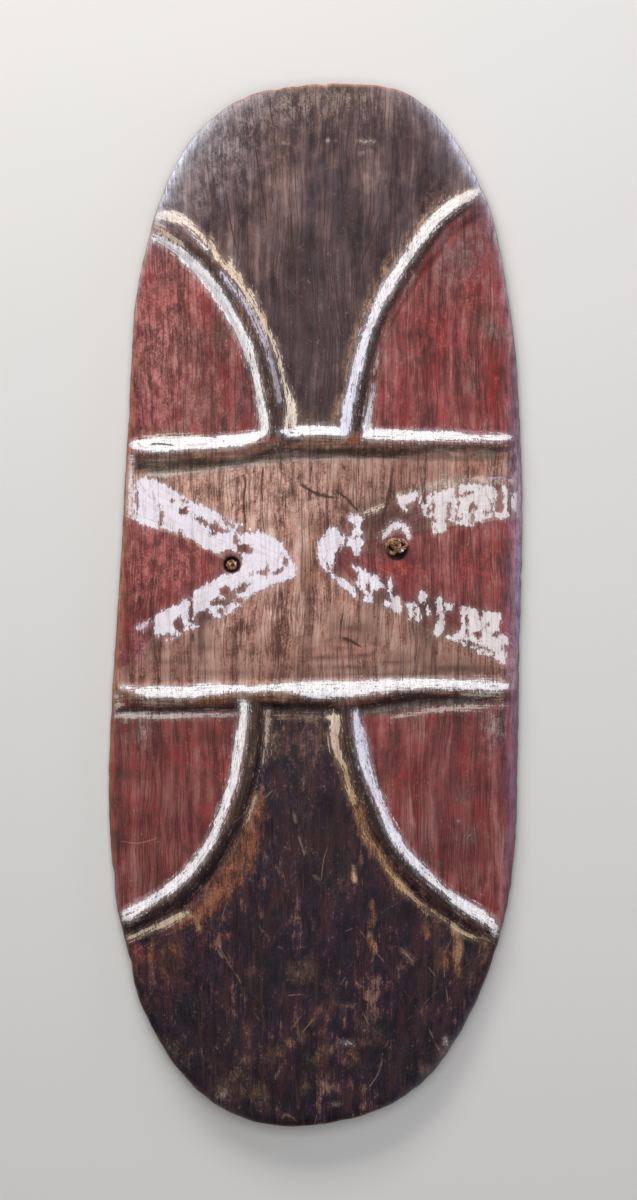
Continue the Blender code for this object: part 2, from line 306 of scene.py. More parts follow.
EARTH_AND_SHADE_STROKES = (
    # Crests and feet of the two upper curved ribs, with near-black painted shadow lines, and the
    # right rib's dark band: its dark crest with painted shade on its lower right flank.
    Stroke(((176, 238, 10), (203, 262, 14), (225, 290, 12), (245, 320, 12), (260, 352, 13),
        (269, 388, 13), (275, 428, 14)), (74, 54, 42), 0.95),
    Stroke(((196, 256, 3), (213, 275, 4), (227, 292, 4), (240, 310, 3)), PAINTED_SHADE, 0.7, 1.5),
    Stroke(((236, 304, 5), (250, 326, 7), (258, 344, 5)), (120, 80, 50), 0.7),
    Stroke(((262, 350, 3), (270, 385, 5), (277, 425, 5)), PAINTED_SHADE, 0.6),
    Stroke(((470, 206, 6), (455, 216, 9), (443, 225, 11), (430, 239, 14), (415, 260, 15),
        (397, 290, 14), (383, 316, 12), (373, 342, 12), (366, 370, 12), (361, 398, 12),
        (357, 428, 14)), (50, 37, 32), 0.95),
    Stroke(((415, 255, 3), (400, 279, 4), (388, 302, 3)), (112, 84, 66), 0.6, 1.5),
    Stroke(((466, 193, 9), (440, 206, 9), (424, 222, 9), (404, 246, 8), (384, 274, 8),
        (371, 300, 8), (361, 324, 7), (351, 350, 7), (345, 376, 7), (340, 402, 8), (337, 424, 9)),
        (180, 142, 116), 0.5, 5.0),
    # The upper straight rib: brown crest, black shadow and grey foot.
    Stroke(((136, 456, 9), (160, 457, 9), (190, 455, 10), (215, 453, 11), (240, 451, 12),
        (265, 449, 13), (290, 446, 13), (320, 443, 11), (345, 442, 11), (357, 440, 15),
        (375, 445, 9), (400, 445, 8), (440, 445, 7), (506, 446, 6)), (124, 88, 68), 0.9, 1.5,
        (100, 66, 54)),
    Stroke(((136, 457, 6), (160, 456, 5), (188, 454, 4)), PAINTED_SHADE, 0.65, 1.5),
    Stroke(((350, 438, 8), (357, 439, 12), (352, 443, 8)), (146, 90, 56), 0.85),
    Stroke(((368, 444, 5), (395, 445, 5), (414, 445, 3)), (120, 80, 60), 0.7),
    Stroke(((300, 445, 5), (325, 443, 5), (345, 443, 4)), (138, 102, 84), 0.6),
    Stroke(((138, 465, 10), (165, 465, 8), (190, 463, 8), (215, 463, 8), (240, 462, 8),
        (258, 458, 7), (274, 453, 6), (300, 452, 5), (330, 453, 7), (350, 453, 9), (380, 454, 11),
        (402, 453, 10), (425, 451, 7), (450, 450, 6), (506, 450, 6)), (46, 35, 33), 0.85),
    Stroke(((150, 463, 7), (162, 463, 8), (176, 461, 6)), (140, 130, 114), 0.4, 4.0),
    Stroke(((260, 458, 4), (273, 451, 6), (286, 445, 6), (298, 441, 4)), (50, 36, 32), 0.8),
    Stroke(((236, 449, 5), (250, 447, 7), (262, 446, 5)), (132, 84, 66), 0.7),
    Stroke(((398, 495, 4), (420, 490, 8), (438, 487, 10), (456, 484, 11), (476, 482, 11),
        (498, 482, 9)), (214, 192, 178), 0.6, 3.0),
    Stroke(((150, 470, 5), (200, 468, 5), (245, 464, 5), (285, 457, 6), (330, 457, 6),
        (347, 457, 4)), (116, 104, 94), 0.7),
    Stroke(((430, 455, 5), (441, 453, 7), (448, 457, 4)), (142, 127, 114), 0.7),
    Stroke(((466, 458, 5), (480, 454, 7), (494, 457, 5)), (152, 134, 120), 0.7),
    # The lower straight rib: brown crest, a near-black painted shadow under it and grey foot.
    Stroke(((118, 694, 10), (150, 702, 11), (190, 701, 11), (215, 699, 11), (245, 698, 12),
        (275, 697, 12), (300, 700, 10), (320, 702, 10), (345, 702, 10), (370, 700, 10),
        (395, 695, 10), (420, 692, 8), (450, 691, 7), (502, 694, 6)), (122, 86, 64), 0.9, 1.5),
    Stroke(((203, 700, 6), (222, 699, 6)), (132, 86, 50), 0.7),
    Stroke(((286, 697, 5), (300, 698, 4)), (130, 98, 78), 0.6),
    Stroke(((114, 710, 5), (140, 710, 5), (165, 709, 6), (200, 708, 6), (235, 707, 7),
        (262, 706, 9), (290, 707, 10), (330, 708, 8), (350, 708, 9), (370, 706, 7), (390, 700, 9),
        (405, 697, 12), (422, 696, 11), (440, 697, 6), (460, 698, 4), (495, 700, 4)), (36, 27, 28),
        0.94),
    Stroke(((356, 714, 6), (372, 712, 7), (395, 708, 8), (420, 704, 8), (445, 702, 6),
        (474, 701, 5)), (108, 102, 94), 0.85),
    Stroke(((145, 702, 6), (165, 702, 8), (183, 703, 7)), (178, 160, 150), 0.3),
    # Crests of the two lower curved ribs, with near-black painted shadow along their shaded flanks.
    Stroke(((256, 706, 14), (255, 726, 15), (253, 746, 14), (250, 765, 12), (245, 785, 11),
        (239, 803, 11), (232, 820, 11), (223, 838, 11), (213, 855, 11), (201, 870, 11),
        (188, 883, 11), (174, 893, 10), (159, 902, 9), (143, 912, 8), (131, 922, 8)), (86, 63, 48),
        0.95),
    Stroke(((262, 712, 5), (261, 745, 6), (258, 766, 8), (253, 785, 10), (247, 802, 11),
        (240, 820, 12), (231, 838, 12), (220, 856, 12), (207, 873, 12), (193, 887, 11),
        (178, 898, 9), (162, 908, 8), (147, 917, 7), (132, 929, 6)), (31, 23, 27), 0.85, 3.5),
    Stroke(((347, 715, 12), (348, 735, 13), (350, 750, 12), (355, 768, 11), (361, 785, 12),
        (367, 800, 12), (375, 817, 13), (384, 834, 13), (394, 848, 13), (406, 862, 13),
        (420, 876, 12), (436, 890, 11), (452, 903, 11), (468, 915, 10), (486, 929, 9)),
        (72, 50, 38), 0.95),
    Stroke(((351, 738, 4), (355, 760, 5), (360, 778, 6), (365, 795, 7), (372, 812, 8),
        (381, 829, 9), (391, 843, 10), (403, 857, 10), (417, 872, 9), (431, 886, 8), (446, 898, 7),
        (462, 909, 6), (478, 920, 5)), PAINTED_SHADE, 0.9),
    # Worn orange-brown wood beside the lower ribs.
    Stroke(((258, 796, 7), (256, 820, 12), (250, 840, 19), (243, 857, 23), (233, 873, 23),
        (221, 889, 21), (207, 903, 17), (193, 916, 12), (176, 925, 8)), (142, 86, 60), 0.82, 9.0),
    Stroke(((357, 808, 9), (361, 822, 11), (365, 833, 10), (370, 842, 9), (378, 852, 9),
        (386, 863, 9), (394, 876, 9), (404, 888, 7)), (150, 104, 70), 0.75, 4.0),
    Stroke(((270, 716, 7), (274, 735, 11), (278, 755, 8)), (110, 86, 70), 0.55, 4.0),
    Stroke(((312, 716, 5), (322, 728, 9), (326, 742, 7)), (118, 90, 70), 0.5, 4.0),
    Stroke(((285, 716, 5), (300, 717, 6), (318, 716, 5)), (132, 106, 90), 0.5, 3.0),
    Stroke(((424, 904, 4), (426, 920, 6), (426, 936, 5)), (140, 96, 66), 0.6, 4.0),
    Stroke(((437, 914, 4), (438, 930, 3)), (136, 94, 66), 0.55, 4.0),
    Stroke(((456, 926, 10), (458, 942, 9), (458, 960, 6), (459, 974, 4)), (164, 124, 92), 0.85,
        3.0),
    Stroke(((444, 950, 5), (445, 962, 4)), (138, 92, 68), 0.7, 3.0),
    Stroke(((483, 934, 5), (486, 948, 6), (484, 962, 4)), (132, 92, 66), 0.55, 3.0),
    Stroke(((353, 864, 3.5), (354, 878, 5)), (196, 156, 120), 0.95, 1.5),
    Stroke(((352, 846, 6), (342, 856, 6), (343, 872, 6)), (24, 18, 24), 0.7, 3.0),
    Stroke(((371, 900, 3), (372, 918, 4), (369, 932, 4), (373, 947, 8)), (150, 106, 76), 0.7, 3.0),
    Stroke(((184, 915, 5), (196, 917, 7), (200, 928, 4)), (170, 130, 90), 0.5, 4.0),
)  # fmt: skip

PALE_STROKES = (
    # Upper left curved rib: white inside; outside, a white line whose lavender tint, greying
    # downwards, is painted cool light and shade, and flaking cream.
    Stroke(((154, 238, 7), (166, 243, 9), (178, 251, 10), (188, 261, 11), (198, 270, 11),
        (207, 281, 11), (216, 293, 11), (224, 305, 11), (233, 320, 10.5), (240, 332, 10.5),
        (246, 344, 11), (250.5, 355, 10.5), (254, 368, 8.5), (257, 380, 7), (259, 392, 6.5),
        (261.5, 405, 7), (264, 418, 8.5), (265, 431, 10)), WHITE, 0.95),
    Stroke(((222, 275, 3), (232, 289, 4.5), (243, 303, 6), (252, 316, 6.5), (259, 330, 7),
        (265, 344, 6.5), (269, 354, 5), (273, 368, 5.5), (277, 384, 5.5), (280.5, 402, 6)),
        (200, 194, 212), 0.78, last=(150, 145, 150)),
    # A thin painted highlight along the rib.
    Stroke(((188, 230, 2), (200, 243, 2.4), (209, 252, 2)), WHITE, 0.85),
    Stroke(((159, 217, 9), (170, 217, 12), (181, 220, 12), (191, 227, 8), (200, 236, 4.5),
        (207, 244, 4)), (236, 224, 214), 0.84, last=CREAM),
    Stroke(((211, 245, 4), (223, 266, 5), (238, 283, 5), (252, 304, 7), (264, 326, 5),
        (275, 350, 5), (283, 377, 4.5), (286, 389, 6), (290, 402, 9), (292, 415, 11),
        (291, 427, 13)), (216, 190, 164), 0.7, last=(236, 222, 208)),
    Stroke(((158, 224, 7), (164, 236, 9), (180, 246, 8)), (206, 188, 172), 0.55),
    Stroke(((212, 239, 3), (214, 250, 5), (217, 261, 5)), (228, 206, 184), 0.8),
    Stroke(((231, 262, 5), (232, 270, 8), (234, 279, 6)), (226, 204, 184), 0.75),
    Stroke(((240, 276, 5), (242, 285, 6), (246, 292, 4)), (214, 186, 158), 0.7),
    Stroke(((250, 293, 6), (253, 302, 8), (257, 312, 6)), (226, 206, 186), 0.8),
    Stroke(((262, 316, 4), (266, 328, 4), (268, 338, 3)), (210, 184, 158), 0.7),
    # Upper right curved rib.
    Stroke(((479, 191, 6), (470, 196, 10), (460, 201, 11), (447, 210, 11), (438, 218, 11),
        (430, 227, 11), (422, 237, 11), (414, 248, 10), (407, 259, 10), (400, 268, 10.5),
        (393, 280, 10.5), (387, 290, 10.5), (381, 301, 9.5), (376, 311, 9.5), (372, 321, 8.5),
        (368, 331, 8.5), (364.5, 342, 8.5), (361, 353, 9), (358.5, 363, 9.5), (355.5, 375, 9.5),
        (352.5, 387, 9.5), (350, 399, 9.5), (347.5, 411, 10), (346, 422, 11), (344, 432, 12)),
        (236, 226, 220), 0.97, last=COOL),
    Stroke(((448, 234, 3), (441, 245, 4)), (150, 120, 115), 0.5),
    Stroke(((413, 278, 3.5), (406, 290, 4), (400, 303, 3.5)), (168, 130, 120), 0.6),
    Stroke(((392, 318, 3), (387, 332, 4), (384, 345, 3.5)), (172, 138, 130), 0.62),
    Stroke(((380, 352, 3.5), (376, 365, 3.5), (373.5, 376, 3)), (190, 160, 158), 0.7),
    Stroke(((373, 385, 4), (371, 398, 4.5), (369, 410, 5.5), (367.5, 421, 7.5), (367, 432, 9)),
        (214, 200, 200), 0.85, last=WHITE),
    # Upper straight rib.
    Stroke(((134, 445, 9), (142, 445, 12), (150, 445, 14), (165, 444, 16), (180, 443.5, 16),
        (195, 443.5, 14), (210, 443.5, 12), (225, 442.5, 12.5), (240, 441, 12.5), (250, 439, 11),
        (258, 436.5, 10), (266, 434, 5)), WHITE, 0.97),
    Stroke(((140, 437, 3), (170, 435.5, 4), (203, 436.5, 3)), (208, 188, 172), 0.75),
    Stroke(((283, 433, 6), (290, 432.5, 10), (305, 431.5, 10.5), (325, 431.5, 10), (338, 432, 9),
        (347, 432, 5)), WHITE, 0.95),
    Stroke(((367, 436, 9), (376, 436, 11), (400, 436, 11), (420, 436.8, 10.5), (440, 436.5, 10),
        (460, 437, 8.5), (480, 438.5, 6), (492, 438, 7), (502, 437.5, 7), (510, 437.5, 3)), WHITE,
        0.95),
    Stroke(((150, 474, 6), (165, 475, 7), (178, 474, 5), (195, 472, 3.5), (215, 470, 3.5),
        (235, 467, 3.5), (255, 465, 4.5), (270, 463, 4.5), (290, 461, 4), (310, 461, 3.5),
        (330, 461, 3.5), (345, 459.5, 3), (370, 461, 2), (396, 460.5, 2.2)), (196, 182, 174), 0.78,
        last=(172, 150, 138)),
    Stroke(((400, 458.5, 2.2), (430, 458, 2.6), (462, 458.5, 2.4)), (168, 136, 120), 0.65),
    # Marks on the left edge.
    Stroke(((132, 456, 3), (131.5, 472, 4), (131, 485, 5), (130.5, 498, 6), (129.5, 505, 5),
        (129, 515, 3.5)), (230, 220, 218), 0.85),
    Stroke(((137, 628, 4), (144, 626, 5), (149, 623, 3)), (226, 208, 218), 0.85),
    Stroke(((116, 696, 4), (118, 704, 6), (115, 711, 4)), (220, 208, 198), 0.6),
    # Lower straight rib.
    Stroke(((121, 687, 2), (133, 689, 4), (141, 691, 8), (150, 691.5, 11), (165, 691.5, 11),
        (190, 691.5, 12), (205, 689, 12.5), (215, 688, 10.5), (235, 688, 8), (255, 688, 7),
        (270, 687, 7), (283, 686.5, 8.5), (295, 687, 11), (305, 688, 14), (318, 689, 17),
        (345, 688.5, 16), (365, 687, 15), (380, 685.5, 13), (395, 684, 10.5), (415, 683, 10.5),
        (440, 683, 10), (460, 684, 9), (480, 685, 11), (495, 686, 11), (506, 686, 6)), WHITE,
        0.84),
    Stroke(((462, 694, 4), (475, 695, 6), (490, 694, 6), (502, 697, 4)), (186, 180, 164), 0.55),
    Stroke(((117, 715, 5.5), (130, 715, 6.5), (150, 715.5, 7), (170, 715.5, 6), (190, 715, 5),
        (215, 714.5, 5.5), (235, 714, 5), (241, 712, 3.5)), (204, 196, 188), 0.84,
        last=(166, 152, 148)),
    Stroke(((268, 714, 4), (290, 716, 4), (320, 716, 3)), (140, 116, 102), 0.5),
    Stroke(((392, 717, 3), (410, 713, 4.5), (430, 710, 5.5), (445, 708.5, 6.5), (460, 708, 6.5),
        (477, 707, 6), (492, 705, 4.5), (505, 706, 3)), (190, 170, 160), 0.7),
    # Lower left curved rib.
    Stroke(((244, 704, 9), (244, 712, 8), (243.5, 722, 8.5), (241, 733, 9.5), (240, 745, 10),
        (237.5, 758, 10.5), (236, 770, 10.5), (233.5, 781, 10), (229.5, 793, 9), (225.5, 805, 9),
        (221, 817, 8.5), (216, 829, 8), (210.5, 841, 8.5), (203, 853, 9.5), (193, 865.5, 9.5),
        (183, 876, 9.5), (172, 885.5, 9.5), (160, 894, 9), (147, 902, 9), (136, 909, 10.5),
        (127, 915, 12.5)), WHITE, 0.88),
    Stroke(((268, 711, 7), (268, 722, 5.5), (267, 735, 5), (266, 748, 4.5), (264, 762, 3)),
        (170, 150, 138), 0.68),
    Stroke(((257, 794, 3), (253, 804, 4.5), (250, 813, 4.5), (247, 823, 3)), (176, 152, 126),
        0.72),
    Stroke(((240, 835, 2), (232, 852, 2.4), (222, 870, 2)), (120, 92, 68), 0.55),
    Stroke(((207, 893, 2.4), (196, 904, 2.8), (186, 911, 3)), (140, 112, 88), 0.65),
    Stroke(((188, 911, 4), (176, 917, 8), (164, 923, 8.5), (152, 928, 6), (140, 933, 6),
        (129, 938, 5)), (214, 196, 166), 0.66, last=(196, 176, 150)),
    # Lower right curved rib.
    Stroke(((356, 713, 6), (356.5, 722, 8), (359, 732, 10.5), (361.5, 745, 12), (363.5, 757, 11.5),
        (367, 769, 9.5), (371, 780, 8.5), (375.5, 790, 8.5), (380, 802, 8), (385, 815, 8),
        (390, 827, 9), (396.5, 838, 10), (404.5, 849, 8.5), (413, 859, 8.5), (423, 869, 9),
        (433, 879, 8), (443, 888, 6), (453, 896, 8), (463, 903.5, 9.5), (475, 911, 10),
        (486, 918, 10.5), (494, 926, 8), (495, 934, 4)), COOL, 0.9, last=WHITE),
    Stroke(((327, 717, 5), (335, 717, 8.5), (335, 725, 10.5), (334.5, 735, 10), (336, 745, 8.5),
        (340, 757, 7), (344, 768, 6.5), (347.5, 780, 6), (350, 790, 6), (353.5, 800, 7)),
        (226, 206, 186), 0.82, last=(200, 162, 126)),
    Stroke(((356, 808, 3), (363, 826, 3.5), (369, 838, 4.5), (378, 850, 4.5), (385, 861, 4.5),
        (391, 872, 5), (398, 882, 6), (407, 891, 6), (418, 900, 5), (432, 910, 5), (446, 919, 4)),
        (190, 150, 112), 0.62, last=(196, 166, 132)),
    Stroke(((452, 924, 6), (463, 932, 6), (478, 937, 3.5), (492, 940, 2.5)), (202, 178, 148),
        0.64),
    Stroke(((383, 538, 4), (388, 531, 7), (394, 527, 8), (401, 526, 7), (406, 531, 7),
        (408, 538, 4)), (230, 216, 218), 0.9),
    Stroke(((362, 514, 3), (372, 511, 4.5), (384, 506, 3.5)), (216, 196, 176), 0.8),
    Stroke(((442, 476, 3), (443, 484, 3.5)), (220, 200, 190), 0.7),
    Stroke(((344, 1040, 2.4), (351, 1041, 2.4)), (190, 176, 168), 0.8),
    Stroke(((402, 949, 1.8), (407, 954, 2.2), (411, 959, 1.8)), (170, 140, 120), 0.7),
    Stroke(((488, 479, 2.5), (502, 478, 3), (514, 481, 2.5)), (196, 180, 186), 0.7),
)  # fmt: skip

SCRATCHES = tuple(Stroke(stations) for stations in (
    ((299, 484, 1.8), (307, 489, 3.4), (313, 493, 2.6), (322, 496, 3.2), (336, 499, 1.8)),
    ((333, 490, 1.4), (345, 498, 1.9), (354, 508, 2.2), (361, 514, 1.5)),
    ((393, 464, 1.5), (391, 480, 2.2), (389, 495, 3.8), (386, 506, 3.4), (381, 522, 2.2)),
    ((148, 446, 1.2), (156, 444.5, 1.8), (166, 445, 2.0), (177, 447, 1.2)),
    ((244, 474, 1.4), (246, 486, 1.9), (244, 500, 1.7), (246, 526, 1.3)),
    ((269, 97, 2.0), (271, 113, 1.6), (274, 131, 1.2)),
    ((307, 235, 1.3), (312, 247, 1.5), (319, 256, 1.2)),
    ((291, 215, 1.2), (293, 250, 1.5), (296, 290, 1.2)),
    ((264, 466, 1.2), (262, 485, 1.6), (263, 505, 1.2)),
    ((340, 637, 1.6), (349, 640, 3.0), (356, 644, 2.2), (364, 648, 1.4)),
    ((345, 190, 1), (344, 210, 1.2), (350, 224, 1.4), (358, 222, 1.2), (362, 205, 1)),
    ((379, 216, 1), (372, 240, 1.2), (362, 262, 1.2), (356, 290, 1)),
    ((256, 150, 1), (262, 190, 1.2), (268, 230, 1)),
    ((226, 190, 1), (232, 230, 1.2), (240, 262, 1)),
))  # fmt: skip

PALE_SCRATCHES = tuple(Stroke(stations) for stations in (
    ((301, 1032, 0.8), (308, 1023, 1.2), (316, 1014, 1.0)),
    ((398, 944, 0.8), (407, 953, 1.2), (414, 964, 0.8)),
    ((362, 1008, 0.8), (369, 1024, 1.0)),
    ((321, 880, 0.8), (324, 856, 1.0), (328, 844, 0.8)),
    ((120, 841, 1.0), (137, 843, 1.5), (150, 840, 1.3), (160, 837, 1.0)),
    ((427, 964, 0.8), (436, 976, 1.1)),
))  # fmt: skip

